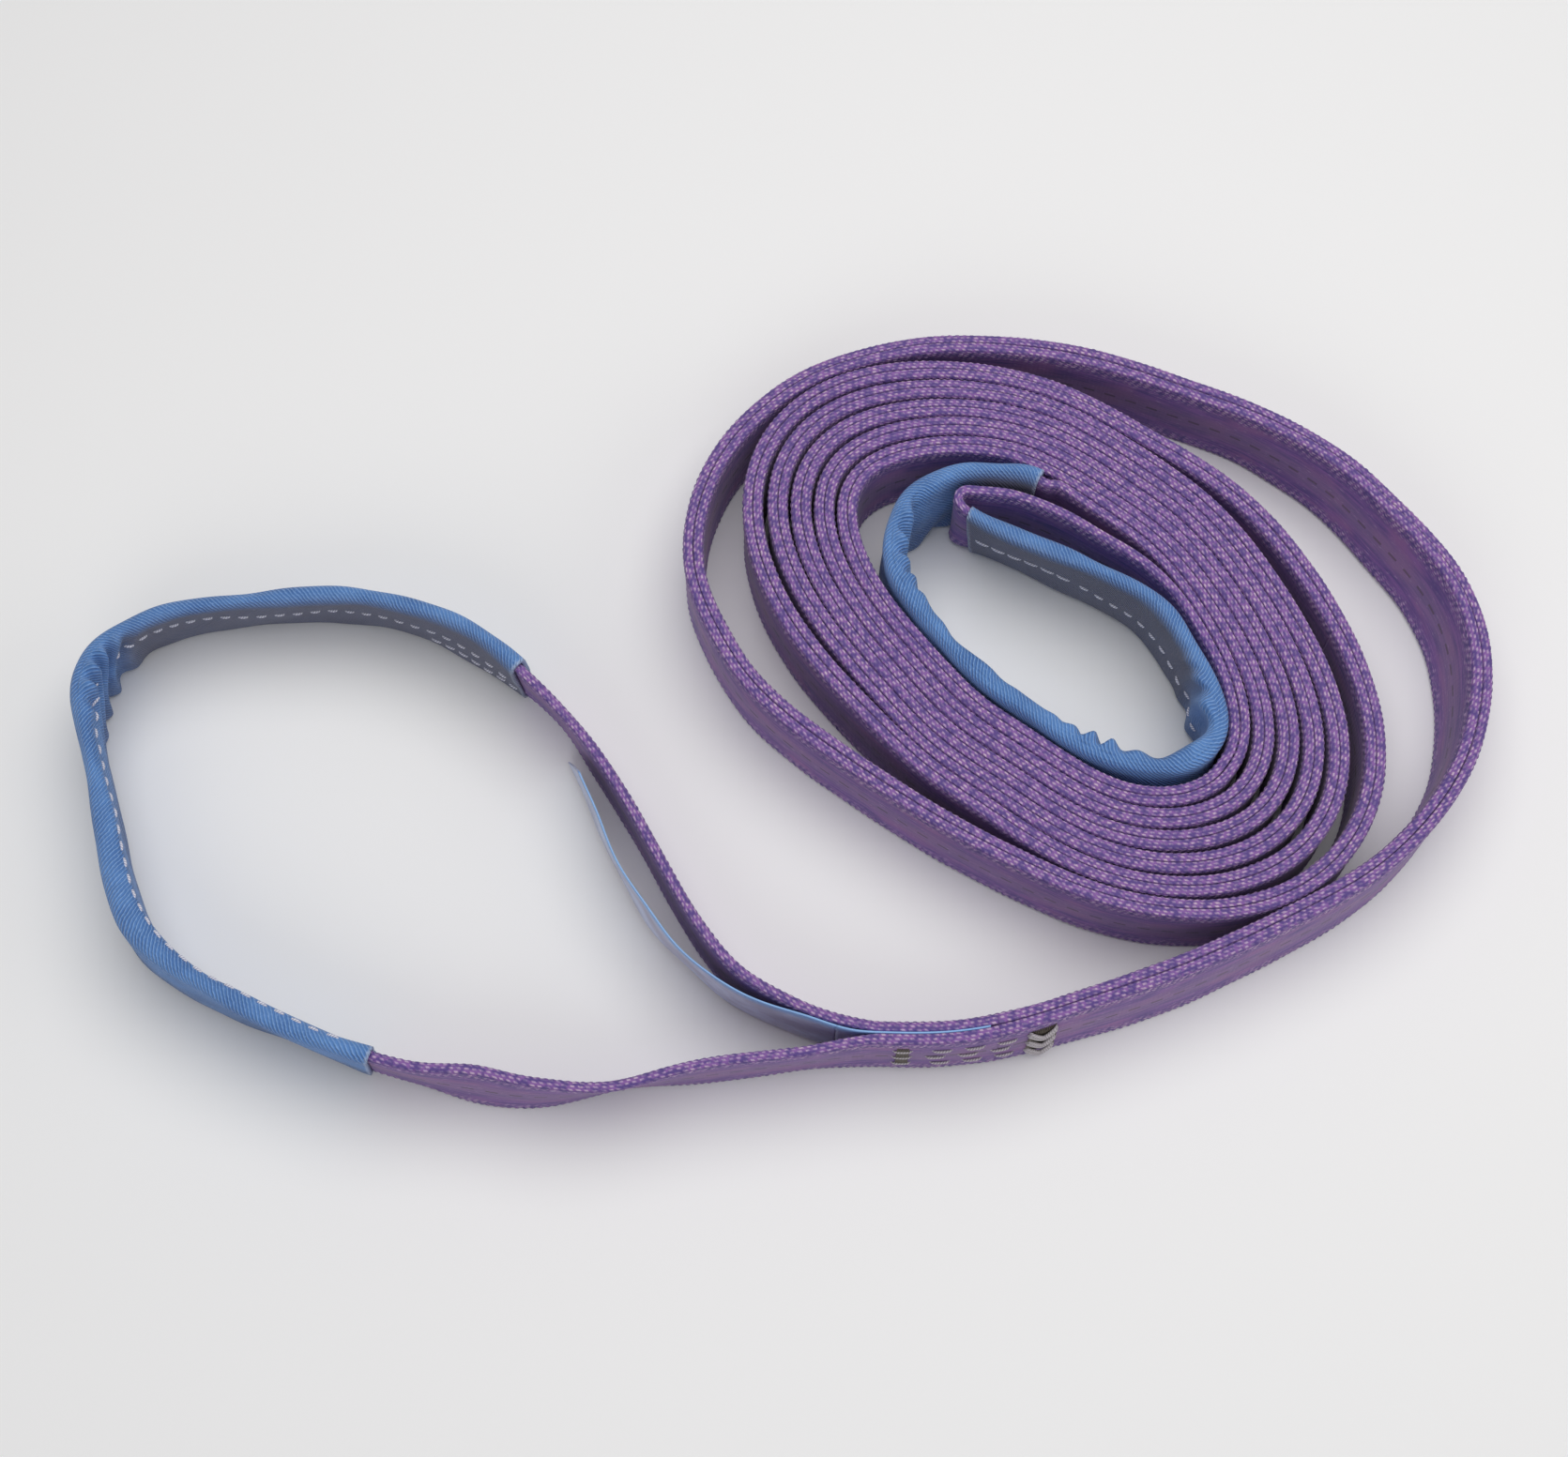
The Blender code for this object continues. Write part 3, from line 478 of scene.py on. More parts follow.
def calc(tree, operation, *values):
    """One arithmetic step on numbers or sockets."""
    return add(tree, "Math", dict(enumerate(values)), operation=operation)


def wave(tree, value, pitch):
    """The cosine of a distance, with a pitch in millimetres."""
    return calc(tree, "COSINE", calc(tree, "MULTIPLY", value, 2 * np.pi / (pitch * MM)))


def ramp(tree, value, low, high, start=0.0, end=1.0):
    """A smooth step of the value from one number to another."""
    inputs = {"Value": value, "From Min": low, "From Max": high, "To Min": start, "To Max": end}
    return add(tree, "MapRange", inputs, interpolation_type="SMOOTHSTEP")


def band(tree, place, low, high, start=0.0, end=1.0):
    """The same between two distances in millimetres."""
    return ramp(tree, place, low * MM, high * MM, start, end)


def mixed(tree, share, first, second):
    """The first colour turned into the second by a share."""
    colours = [c if isinstance(c, bpy.types.NodeSocket) else (*c, 1) for c in (first, second)]
    return add(tree, "Mix", {0: share, 6: colours[0], 7: colours[1]}, 2, data_type="RGBA")


def cloud(tree, place, scale, detail=2.0, roughness=0.5):
    """Noise over a place that is first stretched by three scales."""
    stretched = add(tree, "Mapping", {"Vector": place, "Scale": scale})
    inputs = {"Vector": stretched, "Scale": 1.0, "Detail": detail, "Roughness": roughness}
    return add(tree, "TexNoise", inputs)


def wandering(tree, place, scale, size):
    """Noise about nought, as wide as a size in millimetres."""
    return calc(tree, "MULTIPLY", calc(tree, "SUBTRACT", cloud(tree, place, scale), 0.5), size * MM)


def on_cloth(tree):
    """The piece's own UV map, and from it the distances along and round the piece."""
    uv = add(tree, "UVMap", {}, uv_map="UVMap")
    split = tree.nodes.new("ShaderNodeSeparateXYZ")
    tree.links.new(uv, split.inputs[0])
    return uv, split.outputs[0], split.outputs[1]


def finished(tree, shader, colour, relief, strength, depth, gloss):
    """Joins a colour and a relief to the shader, and sets the shader's own values. The depth of
    the relief is in millimetres."""
    bump = add(tree, "Bump", {"Height": relief, "Strength": strength, "Distance": depth * MM})
    tree.links.new(colour, shader.inputs["Base Color"])
    tree.links.new(bump, shader.inputs["Normal"])
    for socket, value in gloss.items():
        shader.inputs[socket].default_value = value


def webbing_material():
    """Violet and blue yarn with the pale loops near both edges. The pale of the loops is partly a
    painted highlight, and the deep blue between them partly painted shade in the gaps. The face
    between the edges has streaks, plum patches, pale flecks, and one dashed stripe of olive yarn."""
    material, tree, shader = new_material("violet woven polyester")
    uv, u, v = on_cloth(tree)
    sway = wandering(tree, uv, SWAY_NOISE, SWAY_SIZE)
    skewed = calc(tree, "ADD", u, calc(tree, "MULTIPLY_ADD", v, GRAIN_SKEW, sway))
    across = wave(tree, v, 2 * GRAIN_ROW)
    along = calc(tree, "MULTIPLY", wave(tree, skewed, GRAIN_LENGTH), calc(tree, "SIGN", across))
    in_row = ramp(tree, calc(tree, "ABSOLUTE", across), *GRAIN_ACROSS)
    loop = calc(tree, "MULTIPLY", ramp(tree, along, *GRAIN_ALONG), in_row)
    uneven = cloud(tree, uv, UNEVEN_NOISE)
    loop = calc(tree, "MULTIPLY", loop, ramp(tree, uneven, *LOOPS_SHOW))
    off = calc(tree, "ABSOLUTE", v)
    half_round = (slab_high - slab_low) / 2 * MM
    from_edge = calc(tree, "MINIMUM", off, calc(tree, "SUBTRACT", half_round, off))
    ragged = calc(tree, "ADD", from_edge, wandering(tree, uv, RAGGED_NOISE, RAGGED_SIZE))
    edge = band(tree, ragged, *GRAIN_REACH, 1, 0)
    streak = cloud(tree, uv, STREAK_NOISE, 3.0, 0.6)
    fleck = cloud(tree, uv, FLECK_NOISE)
    patch = cloud(tree, uv, PATCH_NOISE)
    face = mixed(tree, ramp(tree, streak, *STREAKS_SHOW), WEB_BLUE, WEB_VIOLET)
    face = mixed(tree, ramp(tree, patch, *PLUM_SHOWS), face, WEB_PLUM)
    face = mixed(tree, band(tree, from_edge, *GREY_SHOWS), face, WEB_GREY)
    face = mixed(tree, ramp(tree, fleck, *FLECKS_SHOW), face, GRAIN_LILAC)
    middle_off = calc(tree, "ABSOLUTE", calc(tree, "SUBTRACT", off, half_round / 2))
    dashes = ramp(tree, wave(tree, u, SEAM_PITCH), *SEAM_DASH)
    seam = calc(tree, "MULTIPLY", band(tree, middle_off, *SEAM_EDGE, 1, 0), dashes)
    face = mixed(tree, calc(tree, "MULTIPLY", seam, SEAM_SHARE), face, SEAM_OLIVE)
    # Between the loops, violet and blue yarn that is partly painted shade in the gaps; on the loops, pale
    # yarn that is partly a painted highlight.
    deep = mixed(tree, ramp(tree, uneven, *YARNS_MIX), WEB_BLUE, WEB_VIOLET)
    loop_yarn_and_highlight = mixed(tree, ramp(tree, patch, *YARNS_MIX), GRAIN_LILAC, GRAIN_CREAM)
    colour = mixed(tree, edge, face, mixed(tree, loop, deep, loop_yarn_and_highlight))
    relief = calc(tree, "MULTIPLY_ADD", streak, STREAK_RELIEF, calc(tree, "MULTIPLY", loop, edge))
    relief = calc(tree, "MULTIPLY_ADD", wave(tree, u, RIB_PITCH), RIB_RELIEF, relief)
    relief = calc(tree, "MULTIPLY_ADD", fleck, FLECK_RELIEF, relief)
    finished(tree, shader, colour, relief, *WEB_RELIEF, WEB_GLOSS)
    return material


violet = webbing_material()


def length_of_web(name, start, end, nodes):
    """One length of the webbing between two steps: the slab carried along the line, moved out
    along its normals by the edge loops, and a little uneven in height."""
    steps = np.arange(start, end + 1)
    here = steps % web_count
    x, y, lean, lift, alone, half = (web_line[here, c][:, None] for c in range(6))
    u = steps * GRAIN_LENGTH * round(web_length / GRAIN_LENGTH) / web_count
    slab_side, slab_up = slab_points.T[:, None]
    out_side, out_up = slab_out.T[:, None]
    facing = slab_side > HALF_INNER - SAME_FACE
    left_over = np.where(facing, GRAIN_BETWEEN + (1 - GRAIN_BETWEEN) * alone, 1)
    height = grains(u[:, None], slab_v[None]) * left_over * GRAIN_HEIGHT
    side = slab_side * np.where(slab_side > 0, half / HALF_INNER, 1) + out_side * height
    rise = RISE * (1 + np.sin(here[:, None] * web_step / RISE_RUN + RISE_SHIFT))
    up = slab_up + out_up * height + lift + rise * (1 - lift / (SLEEVE_SPARE / 2))
    points = beside(x, y, web_left[here][:, None], lean, side, np.maximum(up, 0))
    piece = mesh_of(name, points, u * MM, np.append(slab_v, slab_high) * MM, violet)
    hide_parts(*nodes)
    return piece


# The body of the sling: two plies wound together into a pack of nearly six turns, standing on
# edge. Every turn of each ply is one length that meets the next end to end.
HINGE_COIL_SIDE = 17.0      # the first turn starts this far past the tail's hinge

hinge_step = nearest(body_line, TAIL_HINGE)
first_turn = np.interp(body_run[hinge_step] + HINGE_COIL_SIDE, body_run, winding)
turn_starts = [first_turn, *range(360, 1801, 360), PACK_END]
for number in range(1, 7):
    for stretch, word in ((OUTER, "outer"), (INNER, "inner")):
        cuts = sorted(station(stretch, winding=w) for w in turn_starts[number - 1:number + 1])
        piece = length_of_web(f"turn_{number}_{word}_webbing", *cuts, [f"turn_{number}_{word}_ply"])
        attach(piece, "coil")

# The tail: the two plies from the pack to the throat of the large eye, sewn together. It can be
# pulled away from the pack.
TAIL_ENDS_AT = -99.0        # winding angle where the tail meets the throat


for stretch, word in ((OUTER, "outer"), (INNER, "inner")):
    cuts = sorted(station(stretch, winding=w) for w in (TAIL_ENDS_AT, turn_starts[0]))
    piece = length_of_web(f"tail_{word}_webbing", *cuts, [f"tail_{word}_ply"])
    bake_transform(piece)

# The throat of the large eye and its two legs: each ply runs on out of the sewn throat as one
# leg of the eye, and goes into the sleeve.
SLEEVE_TUCK = 3.0           # the webbing is cut this far inside a sleeve, where it can't be seen

eye_in = station(EYE_1, point=EYE_1_SLEEVE[0]) + int(SLEEVE_TUCK / web_step)
eye_out = station(EYE_1, point=EYE_1_SLEEVE[1]) - int(SLEEVE_TUCK / web_step)
lower_leg = length_of_web("eye_1_lower_webbing", eye_out, station(OUTER, winding=TAIL_ENDS_AT) + web_count,
                          ["eye_1_lower_leg"])
upper_leg = length_of_web("eye_1_upper_webbing", station(INNER, winding=TAIL_ENDS_AT), eye_in,
                          ["eye_1_upper_leg"])
for leg in (lower_leg, upper_leg):
    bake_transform(leg)

# The bight of the large eye: the webbing inside the wear sleeve.
bight = length_of_web("eye_1_bight_webbing", eye_in, eye_out, ["eye_1_bight"])
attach(bight, "outer_eye")

# The small eye, inside the pack: the webbing leaves the end of the pack, goes round the eye
# inside its sleeve, and comes back to the pack as the other ply.
small_in = station(EYE_2, point=EYE_2_SLEEVE[0]) + int(SLEEVE_TUCK / web_step)
small_out = station(EYE_2, point=EYE_2_SLEEVE[1]) - int(SLEEVE_TUCK / web_step)
small_ends = (station(OUTER, winding=PACK_END), station(INNER, winding=PACK_END))
for name, start, end in (("outer_leg", small_ends[0], small_in), ("bight", small_in, small_out),
                         ("inner_leg", small_out, small_ends[1])):
    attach(length_of_web(f"eye_2_{name}_webbing", start, end, [f"eye_2_{name}"]), "coil")

# The wear sleeves: flat tubes of blue woven polyester that the eyes run through, folded along the
# top and closed by a row of stitches. They pucker on the inside of tight bends.
SLEEVE_WALL = 1.3
SLEEVE_OUTSIDE, SLEEVE_HOLLOW = 6.1, 3.5    # width of the flat tube and of the room in it
SLEEVE_CORNER, HOLLOW_CORNER = 2.9, 0.9
SLEEVE_COLUMNS, HOLLOW_COLUMNS = 72, 36
CORNER_CROWDING = 0.06                      # the columns stand closer at the two folds
SLEEVE_HEIGHT = WEB_WIDTH + SLEEVE_SPARE
SLEEVE_STEP = 0.8
SLEEVE_BLUE = (0.110, 0.265, 0.620)
SLEEVE_DEEP = (0.060, 0.160, 0.430)
SLEEVE_PALE = (0.270, 0.460, 0.800)
SLEEVE_FRAY = (0.560, 0.640, 0.800)
SLEEVE_DUST_AND_SHADE = (0.120, 0.112, 0.150)
TWILL_PITCH, TWILL_SLANT, YARN_PITCH = 1.35, 0.8, 1.1
TWILL_SHARE, YARN_SHARE, TWILL_WANDER = 0.82, 0.18, 1.2
DYE_NOISE, SPECK_NOISE, TWILL_NOISE = (60, 90, 1), (900, 900, 1), (300, 300, 1)
DYE_SHOWS, TWILL_SHOWS, SPECKS_SHOW = (0.3, 0.7), (-0.1, 0.9, 0, 0.6), (0.6, 0.8, 0, 0.5)
CLEAN_AND_LIT_EASE = 18.0           # the dust and painted shade fade over this length at both ends of the stretch free of them and set in below the lit top fold, between these distances
DUST_AND_SHADE_DOWN = (1.0, 9.0, 0, 0.88)     # and sets in below the top fold, between these distances
# Painted shade on both faces towards the foot, near the floor, between these distances round.
FOOT_SHADE = (12.0, 34.0, 0, 0.4)
DUST_AND_SHADE_RAGGED, FRAY_RAGGED, FRAY_SHARE = 4.0, 2.0, 0.5
FRAY_REACH = np.array([-0.4, 1.0])  # from the cut end
SLEEVE_RELIEF, DYE_RELIEF = (0.70, 0.35), 1.5
SLEEVE_GLOSS = {"Roughness": 0.68, "Specular IOR Level": 0.35,
                "Sheen Weight": 0.15, "Sheen Roughness": 0.45}
PUCKER, PUCKER_PITCH, PUCKER_SLANT, PUCKER_SWAY = 2.6, 11.0, 0.35, 3.5
PUCKER_BEND = 40.0          # a bend of this radius in millimetres puckers in full
BEND_STEPS = 13             # the bend is evened out over this many rings
PUCKER_EASE = 22.0
PUCKER_OUT, PUCKER_IN = 1.30, 0.35
SWELL, SMALL_SWELL, FOLD_SWELL = 0.45, 0.10, (0.5, 0.35)
# The length of each sine over two pi. The first of PUCKER_, SWELL_ and SMALL_RUNS goes down a face,
# and all the others go along the sleeve.
PUCKER_RUNS, CRUMPLE_RUN = (8.0, 13.0, 12.3), 7.7
SWELL_RUNS, SMALL_RUNS, FOLD_RUNS = (6.0, 8.5, 31.0), (2.3, 3.1), (17.0, 6.3)
FACE_EDGE, FACE_SUNK = (0.6, 2.0), 0.1
SLANT_REACH = 16.0
SLEEVE_FOOT = 0.02          # nothing of a sleeve comes closer to the floor


def sleeve_material(name, long, clean_and_lit):
    """Blue twill. Outside one lit stretch that is free of dust, the inner face is grey below the lit
    top fold: partly dust, partly painted shade. The foot is darker all along, painted shade near the
    floor, and the cut ends are frayed."""
    material, tree, shader = new_material(name)
    uv, u, v = on_cloth(tree)
    slant = calc(tree, "MULTIPLY_ADD", v, TWILL_SLANT, u)
    wander = calc(tree, "MULTIPLY_ADD", cloud(tree, uv, TWILL_NOISE), TWILL_WANDER * MM, slant)
    yarn = calc(tree, "MULTIPLY", wave(tree, v, YARN_PITCH), YARN_SHARE)
    weave = calc(tree, "MULTIPLY_ADD", wave(tree, wander, TWILL_PITCH), TWILL_SHARE, yarn)
    patch = cloud(tree, uv, DYE_NOISE, 3.0)
    speck = cloud(tree, uv, SPECK_NOISE, 1.0)
    colour = mixed(tree, ramp(tree, patch, *DYE_SHOWS), SLEEVE_DEEP, SLEEVE_BLUE)
    colour = mixed(tree, ramp(tree, weave, *TWILL_SHOWS), colour, SLEEVE_PALE)
    colour = mixed(tree, ramp(tree, speck, *SPECKS_SHOW), colour, SLEEVE_PALE)
    # Grey on the inner face below the lit top fold, outside the lit stretch: partly dust, partly painted
    # shade.
    down = calc(tree, "MULTIPLY_ADD", patch, DUST_AND_SHADE_RAGGED * MM, v)
    dust_and_shade_stretch = calc(tree, "MAXIMUM", band(tree, u, clean_and_lit[0], clean_and_lit[0] + CLEAN_AND_LIT_EASE, 1, 0),
                 band(tree, u, clean_and_lit[1] - CLEAN_AND_LIT_EASE, clean_and_lit[1]))
    inside = calc(tree, "MULTIPLY", dust_and_shade_stretch, band(tree, down, *DUST_AND_SHADE_DOWN))
    # Darker towards the foot on both faces: painted shade near the floor.
    foot = band(tree, calc(tree, "ABSOLUTE", v), *FOOT_SHADE)
    colour = mixed(tree, calc(tree, "MAXIMUM", inside, foot), colour, SLEEVE_DUST_AND_SHADE)
    from_middle = calc(tree, "ABSOLUTE", calc(tree, "SUBTRACT", u, long / 2 * MM))
    ragged = calc(tree, "MULTIPLY_ADD", speck, FRAY_RAGGED * MM, from_middle)
    frayed = calc(tree, "MULTIPLY", band(tree, ragged, *(long / 2 + FRAY_REACH)), FRAY_SHARE)
    colour = mixed(tree, frayed, colour, SLEEVE_FRAY)
    relief = calc(tree, "MULTIPLY_ADD", patch, DYE_RELIEF, weave)
    finished(tree, shader, colour, relief, *SLEEVE_RELIEF, SLEEVE_GLOSS)
    return material


def rounded_tube(width, height, radius, count):
    """Ring of a flat tube, from the middle of its lower edge round its right side: straight runs
    joined by quarter circles of a radius, with its points closer together at both folds. Returns
    the points, their distance from the middle of the upper edge, and the outward normals."""
    x, z = width / 2 - radius, height / 2 - radius
    turn = np.radians(np.linspace(0, 90, CORNER_POINTS))
    corners = ((-x, -z, 1.5 * np.pi - turn), (-x, z, np.pi - turn),
               (x, z, np.pi / 2 - turn), (x, -z, -turn))
    arcs = [np.stack([cx + radius * np.cos(a), cz + radius * np.sin(a)], 1) for cx, cz, a in corners]
    outline = np.concatenate([[(0, -height / 2)], *arcs, [(0, -height / 2)]])
    run = run_of(outline)
    share = np.linspace(0, 1, count + 1)
    place = (share - CORNER_CROWDING * np.sin(4 * np.pi * share)) * run[-1]
    ring = np.stack([np.interp(place, run, column) for column in outline.T], 1)
    along = np.roll(ring[:-1], -1, axis=0) - np.roll(ring[:-1], 1, axis=0)
    along /= np.linalg.norm(along, axis=1)[:, None]
    return ring[:-1], place - run[-1] / 2, np.stack([-along[:, 1], along[:, 0]], 1)


def resampled(line, start, end, step):
    """The stretch of a line between two of its points, at even steps: x, y, lean and run."""
    run = run_of(line)
    ends = [run[nearest(line, point)] for point in (start, end)]
    even = np.linspace(*ends, int((ends[1] - ends[0]) / step) + 1)
    return np.stack([np.interp(even, run, column) for column in line.T], 1), even - ends[0]


def wear_sleeve(name, line, ends, slants, clean_and_lit, crumpled, puffed):
    """A flat tube along a line, with its wall. Both faces ripple: long swells everywhere, and
    along the crumpled stretch puckers on the inside of each bend, as deep as the bend is tight.
    Round one place the tube stands open wider. The ends are cut aslant."""
    path, run = resampled(line, *ends, SLEEVE_STEP)
    left = left_of(path)
    heading = np.unwrap(np.arctan2(left[:, 1], left[:, 0]))
    bend = np.gradient(heading, run)
    weights = np.ones(BEND_STEPS) / BEND_STEPS
    bend = np.convolve(np.pad(bend, BEND_STEPS // 2, mode="edge"), weights, "valid")
    sleeving = sleeve_material("blue woven " + name, run[-1], clean_and_lit)
    crumple = eased(crumpled[0], crumpled[0] + PUCKER_EASE, run)
    crumple = crumple * (1 - eased(crumpled[1] - PUCKER_EASE, crumpled[1], run))
    crumple = crumple * (0.75 + 0.25 * np.sin(run / CRUMPLE_RUN + 1))
    wider = 1 + puffed[2] * (1 - eased(0, puffed[1], np.abs(run - puffed[0])))
    slant = (slants[1] * (1 - eased(0, SLANT_REACH, run[-1] - run))
             - slants[0] * (1 - eased(0, SLANT_REACH, run)))
    forward = np.stack([left[:, 1], -left[:, 0]], 1)[:, None]
    along = run[:, None]
    outside, v_out, out = rounded_tube(SLEEVE_OUTSIDE, SLEEVE_HEIGHT, SLEEVE_CORNER, SLEEVE_COLUMNS)
    hollow, v_in, into = rounded_tube(SLEEVE_HOLLOW, SLEEVE_HEIGHT - 2 * SLEEVE_WALL, HOLLOW_CORNER,
                                      HOLLOW_COLUMNS)

    def shell(ring, normal, deep):
        """One side of the wall: the ring along the path, moved out along its normals by slanting
        squared sines on the inside of the bends and by long sines everywhere."""
        across, upward = ring.T[:, None]
        out_side, out_up = normal.T[:, None]
        tight = np.clip(np.sign(across) * bend[:, None] * PUCKER_BEND, 0, 1) * crumple[:, None]
        sway = PUCKER_SWAY * np.sin(upward / PUCKER_RUNS[0] + along / PUCKER_RUNS[1])
        slope = np.pi * (along + PUCKER_SLANT * upward + sway) / PUCKER_PITCH
        ridge = np.sin(slope + 1.7 * np.sin(along / PUCKER_RUNS[2])) ** 2
        ripple = PUCKER * tight * (PUCKER_OUT * ridge - PUCKER_IN)
        swell = SWELL * np.sin(upward / SWELL_RUNS[0] + along / SWELL_RUNS[1])
        swell = swell * np.sin(along / SWELL_RUNS[2] + 2)
        swell = swell + SMALL_SWELL * np.sin(upward / SMALL_RUNS[0] + along / SMALL_RUNS[1])
        deeper = ((ripple + swell) * eased(*FACE_EDGE, np.abs(across)) - FACE_SUNK) * deep
        fold = FOLD_SWELL[0] * np.sin(along / FOLD_RUNS[0])
        fold = fold + FOLD_SWELL[1] * np.sin(along / FOLD_RUNS[1] + 1)
        fold = (fold + PUCKER * PUCKER_IN * tight * ridge) * eased(0, SLEEVE_HEIGHT / 2, upward)
        high = np.maximum(SLEEVE_HEIGHT / 2 + upward + out_up * deeper + fold * deep, SLEEVE_FOOT)
        side = across * wider[:, None] + out_side * deeper
        points = beside(path[:, :1], path[:, 1:2], left[:, None], path[:, 2:3], side, high)
        shift = slant[:, None] * (high / SLEEVE_HEIGHT - 0.5)
        points[..., :2] += forward * shift[..., None] * MM
        return points

    outer = shell(outside, out, 1.0)
    inner = shell(hollow, into, 0.0)
    piece = mesh_of(name, outer, run * MM, v_out * MM, sleeving, closed=False)
    lining = mesh_of(name + "_lining", inner[::-1], run[::-1] * MM, v_in * MM, sleeving, closed=False)
    return joined_at_rims(piece, lining, len(outside), len(hollow)), (run, v_out[:-1], outer)


def joined_at_rims(piece, lining, round_out, round_in):
    """The outside and the lining made one shell, by a strip of faces round each open end. The
    lining's rings run the other way, so its last ring lies inside the first ring of the outside."""
    shape = bmesh.new()
    shape.from_mesh(piece.data)
    shape.from_mesh(lining.data)
    shape.verts.index_update()
    everything = np.arange(len(shape.verts))
    ends = (everything < round_out) | (everything >= len(shape.verts) - round_in)
    for rim in (ends, ~ends):
        edges = [edge for edge in shape.edges if edge.is_boundary and rim[edge.verts[0].index]]
        bmesh.ops.bridge_loops(shape, edges=edges)
    bmesh.ops.recalc_face_normals(shape, faces=shape.faces)
    shape.to_mesh(piece.data)
    shape.free()
    bpy.data.objects.remove(lining)
    return piece


# Each sleeve: the slant of its two ends, the stretch where the inner face has no dust and no painted
# shade, the stretch that is crumpled, and the middle, reach and share of the place where it stands open.
SLEEVE_1 = ((2.0, 5.0), (130.0, 400.0), (118.0, 205.0), (232.0, 40.0, 0.4))
SLEEVE_2 = ((1.0, 2.0), (14.0, 224.0), (15.0, 238.0), (190.0, 30.0, 0.1))
cloth = {}                      # the outside of each sleeve: run, distance round, points
for number, line, ends, ways, body in ((1, eye_1_line, EYE_1_SLEEVE, SLEEVE_1, "outer_eye"),
                                       (2, eye_2_line, EYE_2_SLEEVE, SLEEVE_2, "coil")):
    cover, cloth[number] = wear_sleeve(f"eye_{number}_wear_sleeve", line, ends, *ways)
    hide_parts(f"eye_{number}_sleeve")
    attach(cover, body)

# The stitches that close each sleeve: single runs of white thread on the inner face, a little
# below the top fold, with a second short row where the upper end of the large sleeve is folded.
STITCH_PITCH, STITCH_LENGTH = 5.6, 3.6
STITCH_RADIUS = 0.46
STITCH_DIPS = (((0, 17.0), (70, 15.5), (130, 10.5), (190, 6.0), (215, 3.6), (300, 2.6)),
               ((150, 22.0), (195, 25.0), (240, 20.5), (300, 18.0)))   # run, distance down from the fold
LONG_ROW, SHORT_ROW = (4.0, 8.0), 65.0      # how far from the sleeve's ends the two rows keep
FOLD_ROW = (1.5, 32.0, 9.5)     # the second row: its start, end and distance below the first
FOLD_PITCH, FOLD_LENGTH = 5.04, 4.14
LOCKED_RUN, LOCKED_LENGTH = 36.0, 5.5       # the small sleeve's row ends in one unbroken thread
ROW_GAP = 5.0
STITCH_POINTS, STITCH_END, STITCH_SUNK = 7, 0.22, 0.75
ON_CLOTH = 1.0                  # stands for the face of the cloth, before a row is laid on it
THREAD_SIDES = 6
THREAD_TAPER = (0.3, 0.85)
THREAD_WHITE = (0.830, 0.850, 0.930)
THREAD_SHADE = (0.430, 0.420, 0.560)
THREAD_TWIST, THREAD_SLANT = 0.9, 0.6
DIRT_NOISE = (500, 500, 1)
TWIST_SHOWS, DIRT_SHOWS = (-0.8, 0.6), (0.5, 0.75, 0, 0.6)
THREAD_RELIEF = (0.60, 0.12)
THREAD_GLOSS = {"Roughness": 0.6, "Sheen Weight": 0.1}


def thread_material(name, light, dark):
    """Twisted thread: pale and dark bands that run aslant round it, on the thread's own UV."""
    material, tree, shader = new_material(name)
    uv, u, v = on_cloth(tree)
    twist = wave(tree, calc(tree, "MULTIPLY_ADD", v, THREAD_SLANT, u), THREAD_TWIST)
    dirt = cloud(tree, uv, DIRT_NOISE, 3.0)
    colour = mixed(tree, ramp(tree, twist, *TWIST_SHOWS), dark, light)
    colour = mixed(tree, ramp(tree, dirt, *DIRT_SHOWS), colour, dark)
    finished(tree, shader, colour, twist, *THREAD_RELIEF, THREAD_GLOSS)
    return material


white_thread = thread_material("white thread", THREAD_WHITE, THREAD_SHADE)


def threads(name, line, run, side, height, radius, material):
    """Runs of thread laid on a face. run, side and height give the points of each, one row per
    thread, along a line."""
    at = run_of(line)
    left = left_of(line)
    x, y, lean, lx, ly = (np.interp(run, at, column) for column in (*line.T[:3], *left.T))
    points = beside(x, y, np.stack([lx, ly], -1), lean, side, height)
    return threads_through(name, points, np.stack([lx, ly, np.zeros_like(lx)], -1), radius, material)


